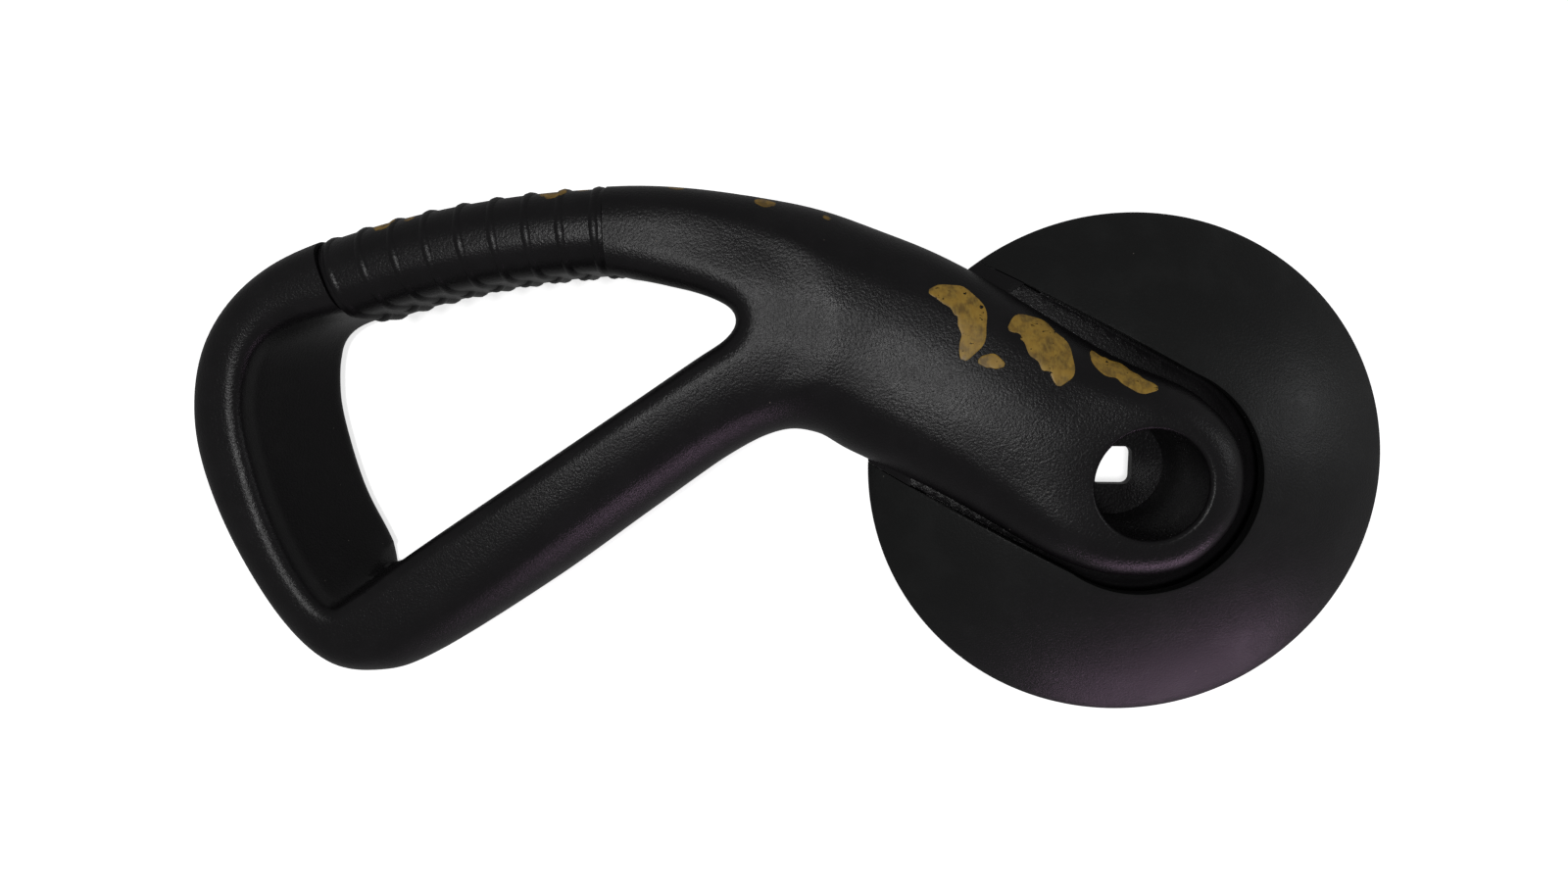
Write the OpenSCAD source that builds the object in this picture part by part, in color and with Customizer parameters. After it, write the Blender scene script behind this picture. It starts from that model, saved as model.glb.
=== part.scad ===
// Lever-operated rope ascender: D-loop handle, domed cover and a toothed cam that clamps a rope.
// Millimetres. The origin is on the bore axis at the rear rest plane, +Z runs along the bore to the front,
// -X runs along the handle and +Y is the side of the ribbed grip.

/* [Disc] */
// Radius of the domed cover
disc_r = 64.3; // [63.5:0.1:64.5]
// Radius of the sphere that the dome is cut from
dome_r = 108; // [104:1:112]
// Height of the cover's rim edge above the rest plane
rim_z = 20; // [19.5:0.1:20.5]
// Thickness of the domed shell
shell_t = 3; // [2.6:0.1:3.2]
// Gap between the cover's slot and the handle's apron
slot_gap = 0.8; // [0.4:0.1:1]

/* [Eye and bearing] */
// Radius of the open bore in the eye
bore_r = 13; // [12:0.1:13.2]
// Width of the square hole in the bore's thin floor
square_w = 10; // [8:0.5:11]
// Radius of the handle's bearing boss
boss_r = 16; // [15.8:0.1:16]
// Running clearance of the bearing, on the radius
run_gap = 0.05; // [0.02:0.01:0.1]

/* [Handle] */
// Height of the eye above the rest plane
depth = 44; // [43:0.5:46]
// How much lower the loop's front face lies than the eye
neck_drop = 6; // [4:0.5:7]
// Thickness of the grip, in the plane of the loop
grip_t = 19.8; // [18:0.5:20]
// Number of ring ribs on the grip
ribs = 9; // [5:1:10]
// Height of each rib
rib_h = 0.8; // [0.4:0.1:1.2]
// Width of each rib
rib_w = 2.2; // [1.4:0.1:3]

/* [Rope channel] */
// Distance of the channel's hard wall from the bore axis
anvil_y = 47.3; // [47:0.1:48]
// Width of the channel
channel_w = 14.3; // [13.8:0.1:14.4]
// Top of the channel above the rest plane
channel_top = 16.5; // [16:0.1:16.8]
// Number of teeth on the cam
teeth = 10; // [6:1:12]
// Depth of each tooth
tooth_h = 1.4; // [0.8:0.1:1.6]

/* [Hidden] */
round_fn = 96;
small_fn = 40;

// Colours
black = [0.05, 0.05, 0.055];
rubber = [0.08, 0.08, 0.085];
steel = [0.62, 0.63, 0.65];
bronze = [0.65, 0.47, 0.25];
acetal = [0.86, 0.85, 0.8];

// Disc and housing
dome_z = rim_z - sqrt(dome_r * dome_r - disc_r * disc_r);
inner_dome_r = dome_r - shell_t;
land_r = 55;
land_z = 19.6;
lip_r = 61.2;
lip_z = 17.5;
wall_r = 60;
wall_in_r = 56.5;
wall_top = 19;
foot_r = 57.3;
foot_edge = 4;
floor_low = 3;
floor_top = 6;
plate_cut_y = 17;
slot_angle = 151;
slot_upper = 28;
slot_lower = 30.5;
slot_end_r = 27.7;
neck_rise_from = 15;
neck_rise_to = 75;
apron_dome_r = 250;
apron_level_r = 60;
lap = 9;
lap_end_r = 50;
screw_places = [[-12.5, 43.5], [-44.5, -14.2], [30.7, 8.8], [8.8, -30.7]];
screw_r = 1.5;
screw_head_r = 2.7;
screw_head_t = 1.8;
screw_boss_r = 3.2;
screw_cover = 1.5;

// Bearing stack
boss_end = 3.1;
bore_floor = 13;
rear_bore_r = 10.2;
rear_bore_top = 10;
neck_floor = 20.3;
bush_t = 2;
bush_low = 4.8;
collar_top = 8;
collar_r = 22;
washer_t = 0.7;
cam_low = 8.8;
cam_top = 16.4;
dowel_r = 2;
dowel_ring = 19.2;
ring_low = 3.55;
ring_t = 0.8;
ring_r = 19.6;
groove_r = 14.8;

// Cam and stops
cam_hub_r = 27;
cam_near_r = 34;
cam_far_r = 44.8;
cam_start = -52;
cam_end = -90;
lever_travel = 50;
lug_r = 35;
lug_from = 95;
lug_to = 107;
stop_ring = 31;
stop_r = 2.5;
stop_gap = 0.25;
stop_half = asin((stop_r + stop_gap) / stop_ring);

// Rollers, liner and side plate
roller_x = 41;
roller_y = -29.5;
roller_r = 4.5;
roller_pin_r = 2;
liner_x = 27;
liner_t = 2.5;
rivet_x = 20;
pivot = [46, -27];
pivot_r = 2.5;
pivot_head_r = 4.6;
pivot_top = 6;
plate_t = 2.6;
plate_hole_r = 10.2;
post = [-36.7, 31.15];
post_r = 2.5;
post_top = 18.8;

// Return spring: one leg bears on the post, the coil runs clockwise and ends at a dowel
wire_r = 0.6;
spring_r = 24.3;
spring_low = 17.3;
spring_pitch = 1.4;
spring_from = 84.5;
spring_sweep = 513.5;
spring_leg = 43.5;

// Grip: an arc seen from the front
grip_centre = [-120.8, -182.4];
grip_outer = 252;
grip_from = 91.7;
grip_to = 108.3;
grip_mid = grip_outer - grip_t / 2;
loop_depth = depth - neck_drop;
grip_margin = 0.6;
grip_corner = 8.8;
core_t = 12;
core_depth = 30;
core_corner = 5.5;
end_gap = 0.17;

// Each outline point is [x, y, front edge radius, rear edge radius, draft towards the rear].
// Outer outline of handle, neck and eye, anticlockwise as seen from the front.
outer_points = [[11.7, 20.4, 9, 3, 0], [-8, 30, 11, 3, 0], [-40.8, 50.2, 13, 4, 0], [-61.4, 59.4, 14, 6, 0],
    [-84.6, 66.4, 12, 7, 0], [-120, 70.1, 10, 8, 0], [-155, 67.1, 9, 8, 0], [-190.1, 60.1, 9, 8, 0],
    [-214.6, 50.1, 7, 8, 0], [-229.9, 33.7, 5, 8, 0], [-234.8, 12, 4, 8, 0], [-229.9, -11.9, 4, 8, 0],
    [-218.1, -36.8, 6, 8, 0], [-205.7, -51.2, 9, 8, 0], [-192.5, -54.3, 12, 8, 0],
    [-178.3, -49.9, 15, 8, 0], [-147, -30.4, 17, 8, 0], [-120.5, -11.3, 17, 8, 0], [-99.9, 3.4, 16, 8, 0],
    [-87, 9.7, 15, 7, 0], [-77.6, 9.3, 15, 6, 0], [-69, 4.8, 15, 5, 0], [-48.1, -4.4, 13, 4, 0],
    [-20, -19, 10, 3, 0], [-4, -23.2, 9, 3, 0], [11.7, -20.4, 9, 3, 0], [22.1, -8, 9, 3, 0],
    [22.1, 8, 9, 3, 0]];

// Outline of the finger loop, anticlockwise.
loop_points = [[-97.2, 38.5, 6, 5, 0], [-101.5, 42.4, 7, 5, 0], [-113.2, 45.9, 8, 5, 0], [-135, 49.3, 8, 5, 0],
    [-165, 46, 8, 5, 0], [-190, 40.6, 8, 5, 0], [-207.6, 36.4, 8, 5, 1.5], [-217, 29, 7, 5, 6],
    [-220.4, 16, 7, 5, 8.2], [-218.8, 2, 7, 5, 8.8], [-214.8, -13, 7, 5, 9], [-209, -26, 6, 5, 9.2],
    [-202, -34.6, 5, 5, 6.5], [-195, -31.5, 5, 5, 2], [-177, -18.7, 5, 5, 0.2], [-132.5, 11.1, 5, 5, 0],
    [-108.5, 27.3, 5, 5, 0], [-99.3, 33.6, 5, 5, 0]];
draft_top = 31;

function spline(a, b, c, d, t) =
    0.5 * (2 * b + (c - a) * t + (2 * a - 5 * b + 4 * c - d) * t * t + (3 * b - a - 3 * c + d) * t * t * t);

// Smooth closed curve through the given points, with the given number of steps between two of them
function closed_curve(points, steps) = let (n = len(points))
    [for (i = [0:n - 1]) for (j = [0:steps - 1])
        spline(points[(i + n - 1) % n], points[i], points[(i + 1) % n], points[(i + 2) % n], j / steps)];

// Outward direction at point i of an anticlockwise curve
function outward(curve, i) = let (n = len(curve), d = curve[(i + 1) % n] - curve[(i + n - 1) % n],
    l = norm([d[0], d[1]])) [d[1] / l, -d[0] / l];

// Height of the front face at a place in the plane of the loop: it rises along the neck to the eye
function front_z(x, y) = let (s = x * cos(slot_angle) + y * sin(slot_angle),
    t = max(0, min(1, (s - neck_rise_from) / (neck_rise_to - neck_rise_from))))
    depth - neck_drop * t * t * (3 - 2 * t);

// Point i of the curve on a ring: side is 1 at the front edge and -1 at the rear, a is the angle round it
function ring_point(curve, i, side, a, sign) = let (p = curve[i], r = side > 0 ? p[2] : p[3],
    z = side > 0 ? front_z(p[0], p[1]) - r + r * sin(a) : r - r * sin(a),
    t = max(0, min(1, (draft_top - z) / draft_top)), o = sign * r * (1 - cos(a)) - p[4] * t,
    n = outward(curve, i)) [p[0] + n[0] * o, p[1] + n[1] * o, z];

// Twice the signed area of a flat triangle, positive when it runs anticlockwise
function turn(a, b, c) = (b[0] - a[0]) * (c[1] - a[1]) - (b[1] - a[1]) * (c[0] - a[0]);

function inside(p, a, b, c) = turn(a, b, p) > 0 && turn(b, c, p) > 0 && turn(c, a, p) > 0;

// Whether the corner at place k of the outline idx can be cut off as a triangle
function is_ear(points, idx, k) = let (n = len(idx), a = points[idx[(k + n - 1) % n]], b = points[idx[k]],
    c = points[idx[(k + 1) % n]])
    turn(a, b, c) > 0 && len([for (i = idx) if (inside(points[i], a, b, c)) i]) == 0;

function first_ear(points, idx, k) =
    is_ear(points, idx, k) || k == len(idx) - 1 ? k : first_ear(points, idx, k + 1);

// Triangles that fill a flat anticlockwise outline, which may bend inwards
function fill(points, idx) = let (n = len(idx)) n == 3 ? [idx] : let (k = first_ear(points, idx, 0))
    concat([[idx[(k + n - 1) % n], idx[k], idx[(k + 1) % n]]],
        fill(points, [for (i = [0:n - 1]) if (i != k) idx[i]]));

// Faces of a stack of rings with n points each, closed by the given faces of its lowest and highest ring
function stack_faces(rings, n, low, high) = concat(low,
    [for (k = [0:rings - 2]) for (i = [0:n - 1]) for (s = [0, 1]) let (a = k * n + i,
        b = k * n + (i + 1) % n) s == 0 ? [a, a + n, b + n] : [a, b + n, b]],
    [for (f = high) [for (i = [len(f) - 1:-1:0]) (rings - 1) * n + f[i]]]);

// Closed tube of radius r along a path, with flat ends
function tube_ring(path, i, r, sides) = let (n = len(path), q = path[min(i + 1, n - 1)] - path[max(i - 1, 0)],
    w = q / norm(q), side = cross(w, [0, 0, 1]), u = side / norm(side), v = cross(u, w))
    [for (k = [0:sides - 1]) path[i] + r * (u * cos(360 * k / sides) + v * sin(360 * k / sides))];

module tube(path, r, sides) {
    rings = len(path);
    points = [for (i = [0:rings - 1]) each tube_ring(path, i, r, sides)];
    end = [[for (i = [0:sides - 1]) i]];
    polyhedron(points, stack_faces(rings, sides, end, end));
}

// Slab with rounded front and rear edges; sign is -1 for a body and 1 for the cut that makes an opening
module rounded_slab(points, sign, steps) {
    curve = closed_curve(points, steps);
    n = len(curve);
    arcs = [90, 58, 28, 0];
    margin = sign > 0 ? 1 : 0;
    rear = [for (a = arcs) [for (i = [0:n - 1]) ring_point(curve, i, -1, a, sign)]];
    front = [for (k = [len(arcs) - 1:-1:0]) [for (i = [0:n - 1]) ring_point(curve, i, 1, arcs[k], sign)]];
    below = [for (p = rear[0]) [p[0], p[1], -margin]];
    above = [for (p = front[len(arcs) - 1]) [p[0], p[1], depth + margin]];
    rings = sign > 0 ? concat([below], rear, front, [above]) : concat(rear, front);
    all = [for (i = [0:n - 1]) i];
    polyhedron([for (ring = rings) each ring],
        stack_faces(len(rings), n, fill(rings[0], all), fill(rings[len(rings) - 1], all)));
}

// Rounded rectangle with its middle at [x, y]
function rounded_rect(x, y, w, h, r, steps) = [for (q = [0:3]) for (k = [0:steps]) let (
    a = 90 * q + 90 * k / steps, sx = (q == 0 || q == 3) ? 1 : -1, sy = q < 2 ? 1 : -1)
    [x + sx * (w / 2 - r) + r * cos(a), y + sy * (h / 2 - r) + r * sin(a)]];

// Bar along the grip's arc between two angles
module grip_bar(w, h, r, from, to) {
    translate(grip_centre) rotate([0, 0, from])
        rotate_extrude(angle = to - from, $fn = 360)
            polygon(rounded_rect(grip_mid, loop_depth / 2, w, h, r, 6));
}

// Points of the dome's curve between two distances from the axis
function dome_arc(r, from, to, steps) = [for (k = [0:steps]) let (x = from + (to - from) * k / steps)
    [x, dome_z + sqrt(r * r - x * x)]];

// The whole domed cap, from the radius r_in outwards
module dome_cap(r_in) {
    rotate_extrude($fn = round_fn)
        polygon(concat(dome_arc(dome_r, disc_r, r_in, 12), dome_arc(inner_dome_r, r_in, land_r, 8),
            [[land_r, land_z], [lip_r, land_z], [lip_r, lip_z], [disc_r, lip_z]]));
}

// Outline of the slot: round at the axis, its sides running out along slot_angle; grow widens it
module slot_shape(grow) {
    far = disc_r + 20;
    r = slot_end_r + grow;
    turn = 96;
    arc = [for (a = [-turn:8:turn]) [-r * cos(a), -r * sin(a)]];
    rotate([0, 0, slot_angle])
        polygon(concat([[far, slot_lower + grow + 1]], [for (k = [len(arc) - 1:-1:0]) [arc[k][0], -arc[k][1]]],
            [[far, -slot_upper - grow]]));
}

// Height of a sphere's cap of radius r over the axis, where its centre lies at height z
function cap_z(r, z, p) = z + sqrt(r * r - p[0] * p[0] - p[1] * p[1]);

// The flatter cap that tops the apron meets the dome at apron_level_r
apron_z = cap_z(dome_r, dome_z, [apron_level_r, 0]) - sqrt(pow(apron_dome_r, 2) - pow(apron_level_r, 2));

// Solid under the apron's cap, out to the radius r
module apron_cap(r) {
    rotate_extrude($fn = round_fn)
        polygon(concat([[0, neck_floor]], [[r, neck_floor]],
            [for (k = [8:-1:0]) [r * k / 8, cap_z(apron_dome_r, apron_z, [r * k / 8, 0])]]));
}

module handle() {
    color(black) difference() {
        union() {
            difference() {
                rounded_slab(outer_points, -1, 3);
                rounded_slab(loop_points, 1, 3);
                translate([grip_centre[0], grip_centre[1], -2]) rotate([0, 0, grip_from])
                    rotate_extrude(angle = grip_to - grip_from, $fn = 360)
                        translate([grip_outer - 40, 0]) square([60, depth + 4]);
                translate([0, 0, -1]) cylinder(r = wall_r + 2, h = neck_floor + 1, $fn = round_fn);
            }
            grip_bar(core_t, core_depth, core_corner, grip_from - 1, grip_to + 1);
            intersection() {
                union() {
                    apron_cap(apron_level_r);
                    dome_cap(apron_level_r - 6);
                }
                linear_extrude(depth) slot_shape(-slot_gap);
            }
            intersection() {
                apron_cap(lap_end_r);
                linear_extrude(depth) slot_shape(lap);
            }
            translate([0, 0, boss_end]) cylinder(r = boss_r, h = depth - 8 - boss_end, $fn = round_fn);
        }
        translate([0, 0, bore_floor]) cylinder(r = bore_r, h = depth, $fn = round_fn);
        translate([0, 0, depth - 1.2]) cylinder(r1 = bore_r, r2 = bore_r + 2, h = 2, $fn = round_fn);
        linear_extrude(bore_floor + 1) polygon(rounded_rect(0, 0, square_w, square_w, 2, 4));
        cylinder(r = rear_bore_r, h = rear_bore_top, $fn = round_fn);
        translate([0, 0, ring_low - 0.05]) ring(groove_r, boss_r + 1, ring_t + 0.1);
        for (a = [60, 180, 300]) rotate([0, 0, a]) translate([dowel_ring, 0, cam_low])
            cylinder(r = dowel_r, h = 16, $fn = small_fn);
        for (p = screw_places) translate([p[0], p[1], neck_floor - 1]) {
            cylinder(r = screw_r + 0.2, h = depth, $fn = small_fn);
            cylinder(r = screw_head_r + 0.2, h = screw_head_t + 1.2, $fn = small_fn);
        }
    }
}

module grip_sleeve() {
    h = loop_depth - 2 * grip_margin;
    rib_angle = rib_w / grip_outer * 180 / PI;
    pitch = (grip_to - grip_from - 2 * end_gap - rib_angle) / (ribs - 1);
    color(rubber) difference() {
        union() {
            grip_bar(grip_t, h, grip_corner, grip_from + end_gap, grip_to - end_gap);
            for (k = [0:ribs - 1]) {
                from = grip_from + end_gap + k * pitch;
                grip_bar(grip_t + 2 * rib_h, h + rib_h, grip_corner + rib_h / 2, from, from + rib_angle);
            }
        }
        grip_bar(core_t, core_depth, core_corner, grip_from - 1, grip_to + 1);
    }
}

// Height at which the screw at a place ends under the dome
function screw_end(p) = cap_z(dome_r, dome_z, p) - screw_cover;

module front_cover() {
    color(black) difference() {
        union() {
            difference() {
                dome_cap(slot_end_r - 2);
                linear_extrude(depth) slot_shape(0);
            }
            for (p = screw_places) {
                low = cap_z(apron_dome_r, apron_z, p) + 0.3;
                translate([p[0], p[1], low]) cylinder(r = screw_boss_r,
                    h = cap_z(inner_dome_r, dome_z, p) - low + 0.8, $fn = small_fn);
            }
        }
        for (p = screw_places) translate([p[0], p[1], neck_floor])
            cylinder(r = screw_r, h = screw_end(p) + 0.1 - neck_floor, $fn = small_fn);
    }
}

module cover_screws() {
    color(steel) for (p = screw_places) translate([p[0], p[1], neck_floor + 0.1]) {
        cylinder(r = screw_head_r, h = screw_head_t, $fn = small_fn);
        cylinder(r = screw_r, h = screw_end(p) - neck_floor - 0.1, $fn = small_fn);
    }
}

// Flat ring from radius a to radius b
module ring(a, b, h) {
    rotate_extrude($fn = round_fn) translate([a, 0]) square([b - a, h]);
}

function cam_r(a) = cam_near_r + (cam_far_r - cam_near_r) * (cam_start - a) / (cam_start - cam_end);

module cam() {
    step = (cam_end - cam_start) / teeth;
    edge = [for (k = [0:teeth - 1]) for (s = [0, 1]) let (a = cam_start + (k + s * 0.8) * step,
        r = cam_r(a) - (s == 0 ? tooth_h : 0)) [r * cos(a), r * sin(a)]];
    blade = concat([[0, 0], [cam_hub_r * cos(-20), cam_hub_r * sin(-20)]], edge,
        [(cam_far_r - 4) * [cos(-95), sin(-95)], cam_hub_r * [cos(-140), sin(-140)]]);
    thickness = cam_top - cam_low;
    color(steel) translate([0, 0, cam_low]) difference() {
        union() {
            cylinder(r = cam_hub_r, h = thickness, $fn = round_fn);
            linear_extrude(thickness) polygon(blade);
            linear_extrude(thickness)
                polygon([[0, 0], for (a = [lug_from, lug_to]) [lug_r * cos(a), lug_r * sin(a)]]);
        }
        translate([0, 0, -1]) cylinder(r = boss_r, h = 10, $fn = round_fn);
        for (a = [60, 180, 300]) rotate([0, 0, a]) translate([dowel_ring, 0, -1])
            cylinder(r = dowel_r, h = 10, $fn = small_fn);
    }
}

module cam_dowels() {
    color(steel) for (a = [60, 180, 300]) rotate([0, 0, a]) translate([dowel_ring, 0, cam_low])
        cylinder(r = dowel_r, h = 15.5, $fn = small_fn);
}

module retaining_ring() {
    color(steel) translate([0, 0, ring_low]) difference() {
        ring(groove_r, ring_r, ring_t);
        translate([0, -4, -1]) cube([ring_r + 1, 8, ring_t + 2]);
    }
}

// Outline of the swinging side plate
module plate_shape() {
    hull() for (c = [[0, 0, 12], [pivot[0], pivot[1], 7], [31, -42, 7], [-31, -42, 7], [-46, -30, 5]])
        translate([c[0], c[1]]) circle(c[2], $fn = 32);
}

module rear_housing() {
    color(black) difference() {
        union() {
            rotate_extrude($fn = round_fn) polygon(concat([[0, 0]],
                [for (a = [0:15:90]) [foot_r - foot_edge + foot_edge * sin(a), foot_edge - foot_edge * cos(a)]],
                [[wall_r, lip_z - 0.5], [wall_r, wall_top], [wall_in_r, wall_top], [wall_in_r, floor_top],
                    [0, floor_top]]));
            intersection() {
                translate([0, 0, floor_low])
                    cylinder(r = wall_in_r + 1, h = channel_top - floor_low, $fn = round_fn);
                translate([-disc_r, -disc_r, 0]) cube([2 * disc_r, disc_r - anvil_y, wall_top]);
            }
            translate([0, 0, floor_low]) cylinder(r = collar_r, h = collar_top - floor_low, $fn = round_fn);
            translate([post[0], post[1], floor_low])
                cylinder(r = post_r, h = post_top - floor_low, $fn = small_fn);
            for (s = [-1, 1]) translate([s * roller_x, roller_y, floor_low])
                cylinder(r = 3.2, h = floor_top + 0.6 - floor_low, $fn = small_fn);
        }
        translate([-disc_r, -disc_r, -1]) cube([2 * disc_r, disc_r + plate_cut_y, floor_low + 1]);
        translate([-disc_r, -anvil_y, 0]) cube([2 * disc_r, channel_w, channel_top]);
        translate([-liner_x, -anvil_y - liner_t, 0]) cube([2 * liner_x, liner_t + 1, channel_top]);
        translate([0, 0, -1]) cylinder(r = boss_r + run_gap + bush_t, h = 20, $fn = round_fn);
        translate([0, 0, -1]) cylinder(r = ring_r + 0.6, h = bush_low + 1, $fn = round_fn);
        translate([0, 0, wall_top - 0.8]) ring(57.2, 59.2, 2);
        for (s = [-1, 1]) translate([s * roller_x, roller_y, 4.5])
            cylinder(r = roller_pin_r, h = 5, $fn = small_fn);
        for (a = stop_angles) rotate([0, 0, a]) translate([stop_ring, 0, 4])
            cylinder(r = stop_r, h = 5, $fn = small_fn);
        for (s = [-1, 1]) translate([s * rivet_x, -anvil_y, 11]) rotate([90, 0, 0])
            cylinder(r = 1.5, h = 7, $fn = small_fn);
        translate([pivot[0], pivot[1], 0]) cylinder(r = pivot_r, h = 20, $fn = small_fn);
    }
}

stop_angles = [lug_to + stop_half, lug_from - lever_travel - stop_half];

module stop_pins() {
    color(steel) for (a = stop_angles) rotate([0, 0, a]) translate([stop_ring, 0, 4])
        cylinder(r = stop_r, h = 12, $fn = small_fn);
}

module channel_liner() {
    color(steel) difference() {
        translate([-liner_x, -anvil_y - liner_t, floor_low + 0.2])
            cube([2 * liner_x, liner_t, channel_top - floor_low - 0.2]);
        for (s = [-1, 1]) translate([s * rivet_x, -anvil_y + 1, 11]) rotate([90, 0, 0])
            cylinder(r = 1.5, h = 8, $fn = small_fn);
        for (s = [-1, 1]) translate([s * rivet_x, -anvil_y, 11]) rotate([90, 0, 0])
            cylinder(r1 = 2.7, r2 = 1.5, h = 1.2, $fn = small_fn);
    }
}

module liner_rivets() {
    color(steel) for (s = [-1, 1]) translate([s * rivet_x, -anvil_y, 11]) rotate([90, 0, 0])
        rotate_extrude($fn = small_fn) polygon([[0, 0], [2.7, 0], [1.5, 1.2], [1.5, 7], [0, 7]]);
}

module rear_bush() {
    color(bronze) translate([0, 0, bush_low])
        ring(boss_r + run_gap, boss_r + run_gap + bush_t, collar_top - bush_low);
}

module thrust_washer() {
    color(acetal) translate([0, 0, collar_top]) ring(boss_r + 0.3, collar_r - 0.6, washer_t);
}

module glide_ring() {
    color(acetal) translate([0, 0, wall_top - 0.8]) ring(57.2, 59.2, 1.1);
}

module return_spring() {
    steps = 36;
    coil = [for (k = [0:steps]) let (turned = spring_sweep * k / steps, a = spring_from - turned)
        [spring_r * cos(a), spring_r * sin(a), spring_low + spring_pitch * turned / 360]];
    leg = spring_leg * [sin(spring_from), -cos(spring_from), 0];
    last = coil[steps];
    inward = [last[0], last[1], 0] / spring_r;
    color(steel) tube(concat([coil[0] - leg], coil, [last - 1.2 * inward, last - 6 * inward]), wire_r, 8);
}

module roller_pins() {
    color(steel) for (s = [-1, 1]) translate([s * roller_x, roller_y, 4.5])
        cylinder(r = roller_pin_r, h = 12.8, $fn = small_fn);
}

module roller_clips() {
    color(steel) for (s = [-1, 1]) translate([s * roller_x, roller_y, 16.1]) ring(roller_pin_r, 3.6, 0.6);
}

module guide_roller(s) {
    color(acetal) translate([s * roller_x, roller_y, floor_top + 0.8]) rotate_extrude($fn = round_fn)
        polygon([[roller_pin_r + run_gap, 0], [roller_r - 0.6, 0], [roller_r, 0.6], [roller_r, 8.4],
            [roller_r - 0.6, 9], [roller_pin_r + run_gap, 9]]);
}

module guide_roller_left() { guide_roller(-1); }

module guide_roller_right() { guide_roller(1); }

module side_plate() {
    color(steel) difference() {
        linear_extrude(plate_t) plate_shape();
        translate([0, 0, -1]) cylinder(r = plate_hole_r, h = 5, $fn = round_fn);
        translate([pivot[0], pivot[1], -1]) cylinder(r = pivot_r + run_gap, h = 5, $fn = small_fn);
        translate([pivot[0], pivot[1], -1]) cylinder(r = pivot_head_r + 0.2, h = 2.2, $fn = small_fn);
    }
}

module plate_pivot_screw() {
    color(steel) translate([pivot[0], pivot[1], 0.2]) {
        cylinder(r = pivot_head_r, h = 0.9, $fn = small_fn);
        cylinder(r = pivot_r, h = pivot_top - 0.2, $fn = small_fn);
    }
}

module plate_washer() {
    color(acetal) translate([pivot[0], pivot[1], plate_t + 0.02]) ring(pivot_r, 5.5, 0.36);
}

handle();
grip_sleeve();
front_cover();
cover_screws();
cam();
cam_dowels();
retaining_ring();
rear_housing();
channel_liner();
liner_rivets();
rear_bush();
thrust_washer();
glide_ring();
stop_pins();
return_spring();
roller_pins();
roller_clips();
guide_roller_left();
guide_roller_right();
side_plate();
plate_pivot_screw();
plate_washer();
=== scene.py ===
"""Looks of a lever-operated rope ascender: moulded handle, ribbed grip, domed cover and steel clamp.

Every length in the classes is in millimetres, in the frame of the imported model, unless a name says otherwise.
"""

import logging
import math
from collections.abc import Callable, Sequence
from dataclasses import dataclass
from enum import Enum

import bmesh
import bpy
import numpy as np
from mathutils import Matrix, Vector
from mathutils.bvhtree import BVHTree


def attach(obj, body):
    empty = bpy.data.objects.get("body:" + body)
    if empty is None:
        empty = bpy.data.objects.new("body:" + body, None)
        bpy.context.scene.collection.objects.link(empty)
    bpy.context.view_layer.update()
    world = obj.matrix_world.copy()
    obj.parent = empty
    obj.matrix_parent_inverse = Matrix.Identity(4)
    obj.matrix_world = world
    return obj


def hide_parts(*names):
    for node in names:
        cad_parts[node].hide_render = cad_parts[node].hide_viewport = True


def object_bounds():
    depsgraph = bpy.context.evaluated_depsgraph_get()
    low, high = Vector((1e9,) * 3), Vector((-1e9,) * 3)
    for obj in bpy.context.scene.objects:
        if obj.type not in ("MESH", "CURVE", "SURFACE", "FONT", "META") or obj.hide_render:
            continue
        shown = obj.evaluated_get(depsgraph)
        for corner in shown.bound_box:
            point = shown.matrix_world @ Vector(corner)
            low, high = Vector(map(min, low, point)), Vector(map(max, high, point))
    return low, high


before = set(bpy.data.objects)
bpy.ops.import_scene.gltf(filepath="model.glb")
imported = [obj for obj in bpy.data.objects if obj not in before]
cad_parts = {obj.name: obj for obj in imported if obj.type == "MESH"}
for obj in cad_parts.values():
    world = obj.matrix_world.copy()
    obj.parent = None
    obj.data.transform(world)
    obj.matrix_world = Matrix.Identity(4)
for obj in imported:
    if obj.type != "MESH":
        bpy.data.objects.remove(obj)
CAD_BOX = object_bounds()
MM = 0.001
LOG = logging.getLogger("ascender")

Colour = tuple[float, float, float]
Point = tuple[float, ...]


# ----------------------------------------------------------------------------------------------------------
# Shader maths
# ----------------------------------------------------------------------------------------------------------


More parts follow.
